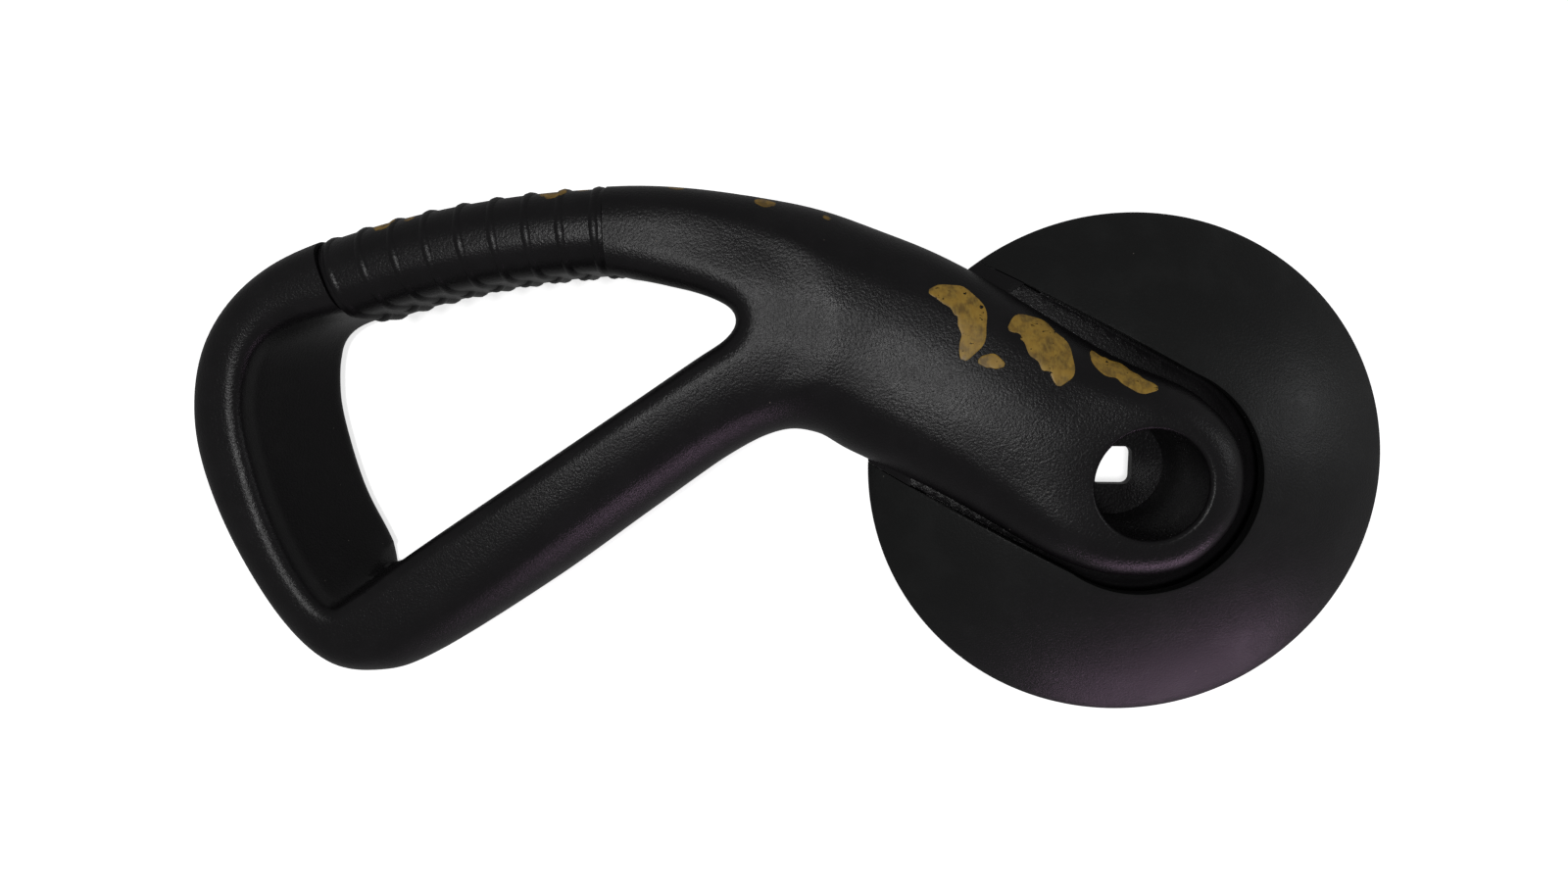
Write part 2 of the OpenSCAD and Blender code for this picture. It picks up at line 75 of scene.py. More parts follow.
class Link:
    """A shader socket that takes part in Python arithmetic; each operation adds its Math node."""

    def __init__(self, shader: "Shader", socket: bpy.types.NodeSocket) -> None:
        """Wraps one output socket.

        Args:
            shader: the shader whose tree holds the socket.
            socket: the output socket.
        """
        self.shader = shader
        self.socket = socket

    def _math(self, operation: str, first: object, second: object) -> "Link":
        """Adds one Math node.

        Args:
            operation: the node's operation.
            first: the first operand, a link or a number.
            second: the second operand, a link or a number.

        Returns:
            The link of the node's result.
        """
        return self.shader.node("ShaderNodeMath", {"operation": operation}, {0: first, 1: second})

    def __add__(self, other: object) -> "Link":
        """Sum."""
        return self._math("ADD", self, other)

    __radd__ = __add__

    def __sub__(self, other: object) -> "Link":
        """Difference."""
        return self._math("SUBTRACT", self, other)

    def __rsub__(self, other: object) -> "Link":
        """Difference from a number."""
        return self._math("SUBTRACT", other, self)

    def __mul__(self, other: object) -> "Link":
        """Product."""
        return self._math("MULTIPLY", self, other)

    __rmul__ = __mul__

    def __truediv__(self, other: object) -> "Link":
        """Quotient."""
        return self._math("DIVIDE", self, other)

    def larger(self, other: object) -> "Link":
        """Larger of the two."""
        return self._math("MAXIMUM", self, other)

    def ramp(self, low: float, high: float) -> "Link":
        """Smooth step from 0 at low to 1 at high.

        Args:
            low: the value that gives 0.
            high: the value that gives 1.

        Returns:
            The link of the step.
        """
        settings = {"interpolation_type": "SMOOTHSTEP"}
        inputs = {"Value": self, "From Min": low, "From Max": high}
        return self.shader.node("ShaderNodeMapRange", settings, inputs)


class Shader:
    """Builds one procedural material, node by node."""

    def __init__(self, name: str) -> None:
        """Starts an empty material.

        Args:
            name: the material's name.
        """
        self.material = bpy.data.materials.new(name)
        self.material.use_nodes = True
        self.tree = self.material.node_tree
        self.tree.nodes.clear()
        self.place = self.node("ShaderNodeTexCoord", output="Object")

    def node(self, kind: str, settings: dict | None = None, inputs: dict | None = None,
             output: object = 0) -> Link:
        """Adds a node.

        Args:
            kind: the node's type.
            settings: attributes set before any socket, such as an operation.
            inputs: values or links for sockets, by name or number.
            output: the name or number of the socket to return.

        Returns:
            The link of the chosen output.
        """
        made = self.tree.nodes.new(kind)
        for key, value in (settings or {}).items():
            setattr(made, key, value)
        for key, value in (inputs or {}).items():
            if isinstance(value, Link):
                self.tree.links.new(value.socket, made.inputs[key])
            else:
                made.inputs[key].default_value = value
        return Link(self, made.outputs[output])

    def noise(self, size: float, detail: float = 2.0, stretch: Point = (1.0, 1.0, 1.0),
              rough: float = 0.5) -> Link:
        """Noise whose features have the given size.

        Args:
            size: the size of the features, in millimetres.
            detail: the number of finer layers.
            stretch: how many times longer the features are along each axis.
            rough: how strong the finer layers are.

        Returns:
            The link of the noise, about 0.5 on average.
        """
        scale = tuple(1.0 / s for s in stretch)
        place = self.node("ShaderNodeMapping", None, {"Vector": self.place, "Scale": scale})
        inputs = {"Vector": place, "Scale": 1.0 / (size * MM), "Detail": detail, "Roughness": rough}
        return self.node("ShaderNodeTexNoise", None, inputs, "Fac")

    def specks(self, spacing: float, radius: float) -> Link:
        """Small round dots, one in each cell of the given spacing at most.

        Args:
            spacing: the mean distance between cells, in millimetres.
            radius: the dots' radius as a share of the spacing.

        Returns:
            The link of the mask.
        """
        inputs = {"Vector": self.place, "Scale": 1.0 / (spacing * MM)}
        cells = self.node("ShaderNodeTexVoronoi", None, inputs, "Distance")
        return 1.0 - cells.ramp(radius * 0.6, radius)

    def near(self, centre: Point, radius: float) -> Link:
        """Soft ball round a place: 1 at the centre and 0 at the radius.

        Args:
            centre: the place, in millimetres.
            radius: the ball's radius, in millimetres.

        Returns:
            The link of the mask.
        """
        inputs = {0: self.place, 1: tuple(c * MM for c in centre)}
        away = self.node("ShaderNodeVectorMath", {"operation": "DISTANCE"}, inputs, "Value")
        return 1.0 - away.ramp(0.0, radius * MM)

    def blend(self, factor: Link, low: object, high: object) -> Link:
        """Mix of two colours.

        Args:
            factor: the share of the second colour.
            low: the first colour.
            high: the second colour.

        Returns:
            The link of the mix.
        """
        full = [c if isinstance(c, Link) else (*c, 1.0) for c in (low, high)]
        return self.node("ShaderNodeMix", {"data_type": "RGBA"}, {0: factor, 6: full[0], 7: full[1]}, 2)

    def bump(self, height: Link, depth: float) -> Link:
        """Surface relief.

        Args:
            height: the relief, from 0 to 1.
            depth: its height in millimetres.

        Returns:
            The link of the normal.
        """
        inputs = {"Height": height, "Distance": depth * MM, "Strength": 1.0}
        return self.node("ShaderNodeBump", None, inputs, "Normal")

    def surface(self, **inputs: object) -> bpy.types.Material:
        """Ends the material in one Principled shader.

        Args:
            **inputs: the shader's sockets, with spaces in their names written as underscores.

        Returns:
            The finished material.
        """
        named = {key.replace("_", " "): value for key, value in inputs.items()}
        shader = self.node("ShaderNodeBsdfPrincipled", None, named)
        self.node_output(shader)
        return self.material

    def node_output(self, shader: Link) -> None:
        """Links a shader to the material's output."""
        out = self.tree.nodes.new("ShaderNodeOutputMaterial")
        self.tree.links.new(shader.socket, out.inputs["Surface"])


# ----------------------------------------------------------------------------------------------------------
# Finishes
# ----------------------------------------------------------------------------------------------------------

OCHRE: Colour = (0.36, 0.21, 0.03)
OCHRE_THIN: Colour = (0.17, 0.1, 0.02)


@dataclass(frozen=True)
class Moulding:
    """Black injection-moulded plastic with a spark-eroded grain, dust and, in places, old paint."""

    name: str
    slot: str
    colour: Colour = (0.008, 0.0074, 0.0082)
    roughness: float = 0.31
    grain: float = 0.6
    grain_depth: float = 0.12
    traces: tuple[tuple[float, float, float, float], ...] = ()

    def material(self) -> bpy.types.Material:
        """Builds the material.

        Returns:
            The finished material.
        """
        make = Shader(self.name)
        fine = make.noise(self.grain, 3.0, rough=0.6)
        broad = make.noise(self.grain * 5, 2.0)
        cloud = make.noise(34.0, 3.0)
        handled = make.noise(11.0, 4.0, rough=0.6).ramp(0.42, 0.72)
        dust = make.specks(7.0, 0.03) * cloud.ramp(0.4, 0.6)
        rough = self.roughness + (fine - 0.5) * 0.16 + (cloud - 0.5) * 0.14 - handled * 0.05
        worn = tuple(1.6 * c + 0.002 for c in self.colour)
        colour = make.blend(handled * 0.55, self.colour, worn)
        colour = make.blend(fine.ramp(0.55, 0.8) * 0.35, colour, tuple(2.1 * c for c in self.colour))
        colour = make.blend(dust, colour, (0.2, 0.18, 0.16))
        height = fine + broad * 0.12
        if self.traces:
            colour, height = self._paint(make, colour, height)
        return make.surface(Base_Color=colour, Roughness=rough + dust * 0.3, Specular_IOR_Level=0.24,
                            Normal=make.bump(height, self.grain_depth))

    def _paint(self, make: Shader, colour: Link, height: Link) -> tuple[Link, Link]:
        """Adds rubbed patches of old paint.

        Args:
            make: the shader in progress.
            colour: the colour so far.
            height: the relief so far.

        Returns:
            The colour and the relief with the patches.
        """
        ball = None
        for x, y, z, r in self.traces:
            one = make.near((x, y, z), r)
            ball = one if ball is None else ball.larger(one)
        mask = (ball * 1.5 + make.noise(2.4, 4.0, rough=0.65)).ramp(1.1, 1.25)
        tone = make.blend(make.noise(1.6, 3.0).ramp(0.35, 0.65), OCHRE_THIN, OCHRE)
        return make.blend(mask, colour, tone), height + mask * 0.5


@dataclass(frozen=True)
class Metal:
    """Machined or drawn metal with fine lines along one axis."""

    name: str
    slot: str
    colour: Colour = (0.5, 0.5, 0.52)
    roughness: float = 0.32
    stretch: tuple[float, float, float] = (30.0, 1.0, 1.0)
    line: float = 0.12
    pores: float = 0.0

    def material(self) -> bpy.types.Material:
        """Builds the material.

        Returns:
            The finished material.
        """
        make = Shader(self.name)
        lines = make.noise(self.line, 3.0, self.stretch)
        cloud = make.noise(6.0, 3.0)
        grime = make.noise(2.2, 4.0, rough=0.65).ramp(0.52, 0.75)
        colour = make.blend(lines, tuple(0.78 * c for c in self.colour), self.colour)
        colour = make.blend(grime * 0.4, colour, (0.09, 0.08, 0.07))
        rough = self.roughness + (lines - 0.5) * 0.2 + (cloud - 0.5) * 0.16 + grime * 0.12
        height = lines
        if self.pores:
            pits = make.specks(0.7, self.pores)
            colour = make.blend(pits, colour, tuple(0.3 * c for c in self.colour))
            height = height * 0.5 + (1.0 - pits)
        return make.surface(Base_Color=colour, Roughness=rough, Metallic=1.0 - grime * 0.35,
                            Normal=make.bump(height, 0.012))


@dataclass(frozen=True)
class Acetal:
    """Natural white engineering plastic with faint turning marks and soiling."""

    name: str
    slot: str = "acetal"
    colour: Colour = (0.72, 0.7, 0.63)

    def material(self) -> bpy.types.Material:
        """Builds the material.

        Returns:
            The finished material.
        """
        make = Shader(self.name)
        marks = make.noise(0.3, 2.0, (1.0, 1.0, 0.3))
        soil = make.noise(3.0, 4.0, rough=0.6).ramp(0.5, 0.75)
        colour = make.blend(soil * 0.5, self.colour, (0.33, 0.29, 0.23))
        rough = 0.38 + (marks - 0.5) * 0.14 + soil * 0.15
        return make.surface(Base_Color=colour, Roughness=rough, Normal=make.bump(marks, 0.015))


@dataclass(frozen=True)
class BrushPaint:
    """Ochre enamel put on with a brush: streaked, thin in places and chipped through."""

    name: str
    slot: str = "ochre_paint"

    def material(self) -> bpy.types.Material:
        """Builds the material.

        Returns:
            The finished material.
        """
        make = Shader(self.name)
        streaks = make.noise(0.7, 3.0, (1.0, 5.0, 1.0))
        cover = make.noise(3.4, 4.0, rough=0.6)
        chips = make.noise(1.5, 4.0, (1.4, 1.0, 1.0), 0.7)
        colour = make.blend(cover.ramp(0.36, 0.6), OCHRE_THIN, OCHRE)
        colour = make.blend(streaks.ramp(0.35, 0.7) * 0.4, colour, (0.46, 0.3, 0.05))
        gone = (chips + (cover - 0.5) * 0.35).ramp(0.635, 0.675)
        return make.surface(Base_Color=colour, Roughness=0.44 + (streaks - 0.5) * 0.25, Alpha=1.0 - gone,
                            Normal=make.bump(streaks * 0.6 + cover, 0.05))


@dataclass(frozen=True)
class Backdrop:
    """Plain pale floor."""

    name: str = "pale_floor"

    def material(self) -> bpy.types.Material:
        """Builds the material.

        Returns:
            The finished material.
        """
        make = Shader(self.name)
        tone = make.blend(make.noise(60.0, 3.0), (0.9, 0.9, 0.9), (0.93, 0.93, 0.93))
        return make.surface(Base_Color=tone, Roughness=0.9, Emission_Color=(1.0, 1.0, 1.0, 1.0),
                            Emission_Strength=0.75)


# ----------------------------------------------------------------------------------------------------------
# Mesh tools
# ----------------------------------------------------------------------------------------------------------


class Join(Enum):
    """How a second solid changes a first one."""

    ADD = "UNION"
    CUT = "DIFFERENCE"
    KEEP = "INTERSECT"


def solid(name: str, points: Sequence[Point] | np.ndarray,
          faces: Sequence[Sequence[int]] | np.ndarray) -> bpy.types.Object:
    """Makes an object from points in millimetres.

    Args:
        name: the object's name.
        points: the corners, in millimetres.
        faces: the faces, as corner numbers.

    Returns:
        The object, linked into the scene.
    """
    mesh = bpy.data.meshes.new(name)
    mesh.from_pydata((np.asarray(points, float) * MM).tolist(), [], np.asarray(faces).tolist()
                     if isinstance(faces, np.ndarray) else faces)
    made = bpy.data.objects.new(name, mesh)
    bpy.context.scene.collection.objects.link(made)
    return made


def tidy(piece: bpy.types.Object, outward: bool = True) -> bpy.types.Object:
    """Merges doubled points and turns the faces outwards.

    Args:
        piece: the object.
        outward: whether to work the normals out again.

    Returns:
        The same object.
    """
    shape = bmesh.new()
    shape.from_mesh(piece.data)
    bmesh.ops.remove_doubles(shape, verts=shape.verts, dist=1e-7)
    if outward:
        bmesh.ops.recalc_face_normals(shape, faces=shape.faces)
    shape.to_mesh(piece.data)
    shape.free()
    return piece


def lathe(name: str, profile: Sequence[Point], steps: int = 192) -> bpy.types.Object:
    """Turns a closed profile round the Z axis.

    Args:
        name: the object's name.
        profile: points as (radius, height), in order; a radius of 0 lies on the axis.
        steps: the number of steps round the axis.

    Returns:
        The closed solid.
    """
    points = []
    faces = []
    n = len(profile)
    for k in range(steps):
        a = 2 * math.pi * k / steps
        points += [(r * math.cos(a), r * math.sin(a), z) for r, z in profile]
        m = (k + 1) % steps
        for i in range(n):
            j = (i + 1) % n
            if profile[i][0] == 0 and profile[j][0] == 0:
                continue
            faces.append((k * n + i, m * n + i, m * n + j, k * n + j))
    return tidy(clean_faces(solid(name, points, faces)))


def clean_faces(piece: bpy.types.Object) -> bpy.types.Object:
    """Collapses the faces that have doubled corners, as at a pole.

    Args:
        piece: the object.

    Returns:
        The same object.
    """
    shape = bmesh.new()
    shape.from_mesh(piece.data)
    bmesh.ops.remove_doubles(shape, verts=shape.verts, dist=1e-7)
    bmesh.ops.dissolve_degenerate(shape, edges=shape.edges, dist=1e-8)
    shape.to_mesh(piece.data)
    shape.free()
    return piece


def prism(name: str, outline: Sequence[Point], low: float, high: float) -> bpy.types.Object:
    """Extrudes a flat outline.

    Args:
        name: the object's name.
        outline: the outline's points as (x, y).
        low: the height of its underside.
        high: the height of its top.

    Returns:
        The closed solid.
    """
    n = len(outline)
    points = [(x, y, low) for x, y in outline] + [(x, y, high) for x, y in outline]
    faces = [tuple(range(n))[::-1], tuple(range(n, 2 * n))]
    faces += [(i, (i + 1) % n, n + (i + 1) % n, n + i) for i in range(n)]
    return tidy(solid(name, points, faces))


def circle(centre: Point, radius: float, angles: Sequence[float]) -> list[Point]:
    """Points on a circle.

    Args:
        centre: the circle's centre.
        radius: its radius.
        angles: the points' angles, in radians.

    Returns:
        The points as (x, y).
    """
    return [(centre[0] + radius * math.cos(a), centre[1] + radius * math.sin(a)) for a in angles]


def disc(name: str, centre: Point, radius: float, low: float, high: float,
         steps: int = 48) -> bpy.types.Object:
    """Makes a plain cylinder along Z, as a cutter or a boss.

    Args:
        name: the object's name.
        centre: the axis, as (x, y).
        radius: the radius.
        low: the height of its underside.
        high: the height of its top.
        steps: the number of sides.

    Returns:
        The closed solid.
    """
    turns = [2 * math.pi * k / steps for k in range(steps)]
    return prism(name, circle(centre, radius, turns), low, high)


def put(piece: bpy.types.Object, x: float, y: float) -> bpy.types.Object:
    """Shifts a piece's mesh across the rest plane.

    Args:
        piece: the piece.
        x: the shift along X.
        y: the shift along Y.

    Returns:
        The same piece.
    """
    piece.data.transform(Matrix.Translation((x * MM, y * MM, 0.0)))
    return piece


def combine(piece: bpy.types.Object, other: bpy.types.Object, how: Join) -> bpy.types.Object:
    """Adds a solid to a piece, cuts it out or keeps what both share, and removes it.

    Args:
        piece: the solid that is changed.
        other: the second solid.
        how: what to do.

    Returns:
        The changed piece.
    """
    change = piece.modifiers.new("join", "BOOLEAN")
    change.operation = how.value
    change.solver = "MANIFOLD"
    change.object = other
    harden(piece)
    bpy.data.objects.remove(other)
    return piece


def harden(piece: bpy.types.Object) -> bpy.types.Object:
    """Turns a piece's modifiers into plain mesh.

    Args:
        piece: the object.

    Returns:
        The same object.
    """
    bpy.context.view_layer.update()
    result = piece.evaluated_get(bpy.context.evaluated_depsgraph_get())
    mesh = bpy.data.meshes.new_from_object(result)
    piece.modifiers.clear()
    piece.data = mesh
    return piece


def soften(piece: bpy.types.Object, width: float, segments: int = 2, angle: float = 40.0) -> bpy.types.Object:
    """Rounds the sharp edges of a piece.

    Args:
        piece: the object.
        width: the width of the rounding, in millimetres.
        segments: the number of steps in it.
        angle: the least angle of a sharp edge, in degrees.

    Returns:
        The same object.
    """
    edge = piece.modifiers.new("edges", "BEVEL")
    edge.width = width * MM
    edge.segments = segments
    edge.limit_method = "ANGLE"
    edge.angle_limit = math.radians(angle)
    edge.use_clamp_overlap = True
    edge.harden_normals = False
    return harden(piece)


def smooth(piece: bpy.types.Object, angle: float = 32.0) -> bpy.types.Object:
    """Shades a piece smoothly, except over its sharp edges.

    Args:
        piece: the object.
        angle: the least angle of a sharp edge, in degrees.

    Returns:
        The same object.
    """
    piece.data.shade_smooth()
    piece.data.set_sharp_from_angle(angle=math.radians(angle))
    return piece


def finish(piece: bpy.types.Object, look: object, body: str, *nodes: str) -> bpy.types.Object:
    """Dresses a piece, and ties it to its body and to the CAD nodes that it stands for.

    Args:
        piece: the object.
        look: its finish.
        body: the CAD body that it moves with.
        *nodes: the CAD nodes that it replaces.

    Returns:
        The same object.
    """
    piece.data.materials.clear()
    piece.data.materials.append(material_of(look))
    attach(piece, body)
    if nodes:
        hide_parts(*nodes)
    LOG.info("%s: %d faces, on %s", piece.name, len(piece.data.polygons), body)
    return piece


MADE: dict[str, bpy.types.Material] = {}


def material_of(look: object) -> bpy.types.Material:
    """Builds a finish's material once, however many pieces have it.

    Args:
        look: the finish.

    Returns:
        Its material.
    """
    if look.name not in MADE:
        MADE[look.name] = look.material()
    return MADE[look.name]


def spline(points: Sequence[Point], steps: int) -> np.ndarray:
    """Smooth closed curve through points.

    Args:
        points: the points, of any number of values each.
        steps: the number of steps between two of them.

    Returns:
        The curve's points.
    """
    p = np.asarray(points, float)
    a, b, c, d = np.roll(p, 1, 0), p, np.roll(p, -1, 0), np.roll(p, -2, 0)
    rows = []
    for k in range(steps):
        t = k / steps
        rows.append(0.5 * (2 * b + (c - a) * t + (2 * a - 5 * b + 4 * c - d) * t ** 2
                           + (3 * b - a - 3 * c + d) * t ** 3))
    return np.stack(rows, 1).reshape(-1, p.shape[1])


def ease(value: np.ndarray) -> np.ndarray:
    """Smooth step of a value that is cut off at 0 and 1."""
    t = np.clip(value, 0.0, 1.0)
    return t * t * (3 - 2 * t)


def rounded_rectangle(x: float, y: float, wide: float, high: float, radius: float, steps: int) -> list[Point]:
    """Points of a rounded rectangle.

    Args:
        x: the middle, across.
        y: the middle, up.
        wide: the width.
        high: the height.
        radius: the corners' radius.
        steps: the number of steps in each corner.

    Returns:
        The outline, anticlockwise.
    """
    points = []
    for corner in range(4):
        side = 1 if corner in (0, 3) else -1
        up = 1 if corner < 2 else -1
        for k in range(steps + 1):
            a = math.radians(90 * corner + 90 * k / steps)
            points.append((x + side * (wide / 2 - radius) + radius * math.cos(a),
                           y + up * (high / 2 - radius) + radius * math.sin(a)))
    return points


# ----------------------------------------------------------------------------------------------------------
# Skin of a rounded body
# ----------------------------------------------------------------------------------------------------------


class Outline:
    """Distance from a closed curve, with values that are carried along it, on a fine flat grid."""

    def __init__(self, points: Sequence[Point], low: Point, high: Point, pitch: float,
                 steps: int = 10) -> None:
        """Works the grid out.

        Args:
            points: the curve's points as (x, y, value, value, ...).
            low: the grid's lowest corner.
            high: the grid's highest corner.
            pitch: the grid's pitch.
            steps: the number of steps between two points.
        """
        curve = spline(points, steps)
        self.low = np.array(low, float)
        self.pitch = pitch
        self.shape = tuple(int(math.ceil((high[i] - low[i]) / pitch)) + 1 for i in (0, 1))
        x, y = np.meshgrid(*[self.low[i] + pitch * np.arange(self.shape[i]) for i in (0, 1)], indexing="ij")
        flat = np.stack([x.ravel(), y.ravel()], 1)
        self.layers = np.concatenate([self._measure(curve, part) for part in np.array_split(flat, 40)])
        self.layers = self.layers.reshape(*self.shape, -1)

    @staticmethod
    def _measure(curve: np.ndarray, places: np.ndarray) -> np.ndarray:
        """Signed distance and carried values at some places.

        Args:
            curve: the curve's points.
            places: the places.

        Returns:
            One row for each place: its distance, negative inside, and the values of the nearest curve point.
        """
        start, end = curve, np.roll(curve, -1, 0)
        along = end[:, :2] - start[:, :2]
        away = places[:, None, :] - start[None, :, :2]
        t = np.clip((away * along).sum(2) / (along ** 2).sum(1), 0, 1)
        gap = np.linalg.norm(away - t[..., None] * along, axis=2)
        best = gap.argmin(1)
        row = np.arange(len(places))
        share = t[row, best][:, None]
        values = start[best, 2:] * (1 - share) + end[best, 2:] * share
        y0, y1 = start[:, 1], end[:, 1]
        py = places[:, None, 1]
        crosses = (y0 > py) != (y1 > py)
        with np.errstate(divide="ignore", invalid="ignore"):
            at = start[:, 0] + (py - y0) / (y1 - y0) * along[:, 0]
        inside = (crosses & (places[:, None, 0] < at)).sum(1) % 2 == 1
        signed = np.where(inside, -1.0, 1.0) * gap[row, best]
        return np.concatenate([signed[:, None], values], 1)

    def at(self, places: np.ndarray) -> np.ndarray:
        """Reads the grid.

        Args:
            places: the places as rows whose first two values are x and y.

        Returns:
            One row for each place, as the grid holds them.
        """
        g = (places[:, :2] - self.low) / self.pitch
        g = np.clip(g, 0, np.array(self.shape) - 1.001)
        i = g.astype(int)
        f = g - i
        a, b = self.layers[i[:, 0], i[:, 1]], self.layers[i[:, 0] + 1, i[:, 1]]
        c, d = self.layers[i[:, 0], i[:, 1] + 1], self.layers[i[:, 0] + 1, i[:, 1] + 1]
        fx, fy = f[:, :1], f[:, 1:]
        return (a * (1 - fx) + b * fx) * (1 - fy) + (c * (1 - fx) + d * fx) * fy


def rounded_edge(side: np.ndarray, face: np.ndarray, radius: np.ndarray) -> np.ndarray:
    """Distance from two walls that meet in a rounded edge.

    Args:
        side: the distance from the first wall, negative inside.
        face: the distance from the second wall, negative inside.
        radius: the edge's radius.

    Returns:
        The distance, negative inside.
    """
    u, v = side + radius, face + radius
    return np.minimum(np.maximum(u, v), 0) + np.hypot(np.maximum(u, 0), np.maximum(v, 0)) - radius


def soft_larger(a: np.ndarray, b: np.ndarray, reach: float) -> np.ndarray:
    """Larger of two distances, rounded where they are nearly the same."""
    near = np.maximum(reach - np.abs(a - b), 0)
    return np.maximum(a, b) + near * near / (4 * reach)


def skin(measure: Callable[[np.ndarray], np.ndarray], low: Point, high: Point,
         pitch: float) -> tuple[np.ndarray, np.ndarray]:
    """Closed skin where a distance is zero.

    Args:
        measure: gives the signed distance at rows of places.
        low: the lowest corner of the box that holds the skin.
        high: the highest corner.
        pitch: the size of a cell.

    Returns:
        The skin's points and its faces of four corners, which face outwards.
    """
    count = [int(math.ceil((high[i] - low[i]) / pitch)) + 1 for i in range(3)]
    axes = [low[i] + pitch * np.arange(count[i]) for i in range(3)]
    grid = np.stack(np.meshgrid(*axes, indexing="ij"), -1).reshape(-1, 3)
    value = np.concatenate([measure(part) for part in np.array_split(grid, 24)]).reshape(count)
    inside = value < 0
    total = np.zeros([c - 1 for c in count] + [3])
    hits = np.zeros([c - 1 for c in count])
    crossings = []
    for axis in range(3):
        head = [slice(None)] * 3
        tail = [slice(None)] * 3
        head[axis], tail[axis] = slice(0, -1), slice(1, None)
        first, last = value[tuple(head)], value[tuple(tail)]
        flips = (first < 0) != (last < 0)
        i = np.argwhere(flips)
        a, b = first[flips], last[flips]
        spot = i.astype(float)
        spot[:, axis] += a / (a - b)
        others = [k for k in range(3) if k != axis]
        corners = []
        for du, dv in ((0, 0), (-1, 0), (-1, -1), (0, -1)):
            cell = i.copy()
            cell[:, others[0]] += du
            cell[:, others[1]] += dv
            corners.append(cell)
            np.add.at(total, tuple(cell.T), spot)
            np.add.at(hits, tuple(cell.T), 1)
        crossings.append((axis, corners, a < 0))
    used = hits > 0
    number = np.full(hits.shape, -1)
    number[used] = np.arange(used.sum())
    points = total[used] / hits[used][:, None] * pitch + np.array(low)
    faces = []
    for axis, corners, leaving in crossings:
        quads = np.stack([number[tuple(c.T)] for c in corners], 1)
        turned = leaving if axis != 1 else ~leaving
        faces.append(np.where(turned[:, None], quads, quads[:, ::-1]))
    return settle(measure, points, 0.35 * pitch), np.concatenate(faces)


def settle(measure: Callable[[np.ndarray], np.ndarray], points: np.ndarray, reach: float) -> np.ndarray:
    """Moves points onto the surface where a distance is zero.

    Args:
        measure: gives the signed distance at rows of places.
        points: the points.
        reach: the step of the slopes, and the furthest that a point moves at a time.

    Returns:
        The moved points.
    """
    for _ in range(3):
        slope = np.stack([measure(points + step) - measure(points - step) for step in reach * np.eye(3)], 1)
        slope /= 2 * reach
        size = np.maximum((slope ** 2).sum(1), 0.05)
        move = -(measure(points) / size)[:, None] * slope
        length = np.maximum(np.linalg.norm(move, axis=1), 1e-9)
        points = points + move * np.minimum(1.0, reach / length)[:, None]
    return points


# ----------------------------------------------------------------------------------------------------------
# Geometry Nodes
# ----------------------------------------------------------------------------------------------------------


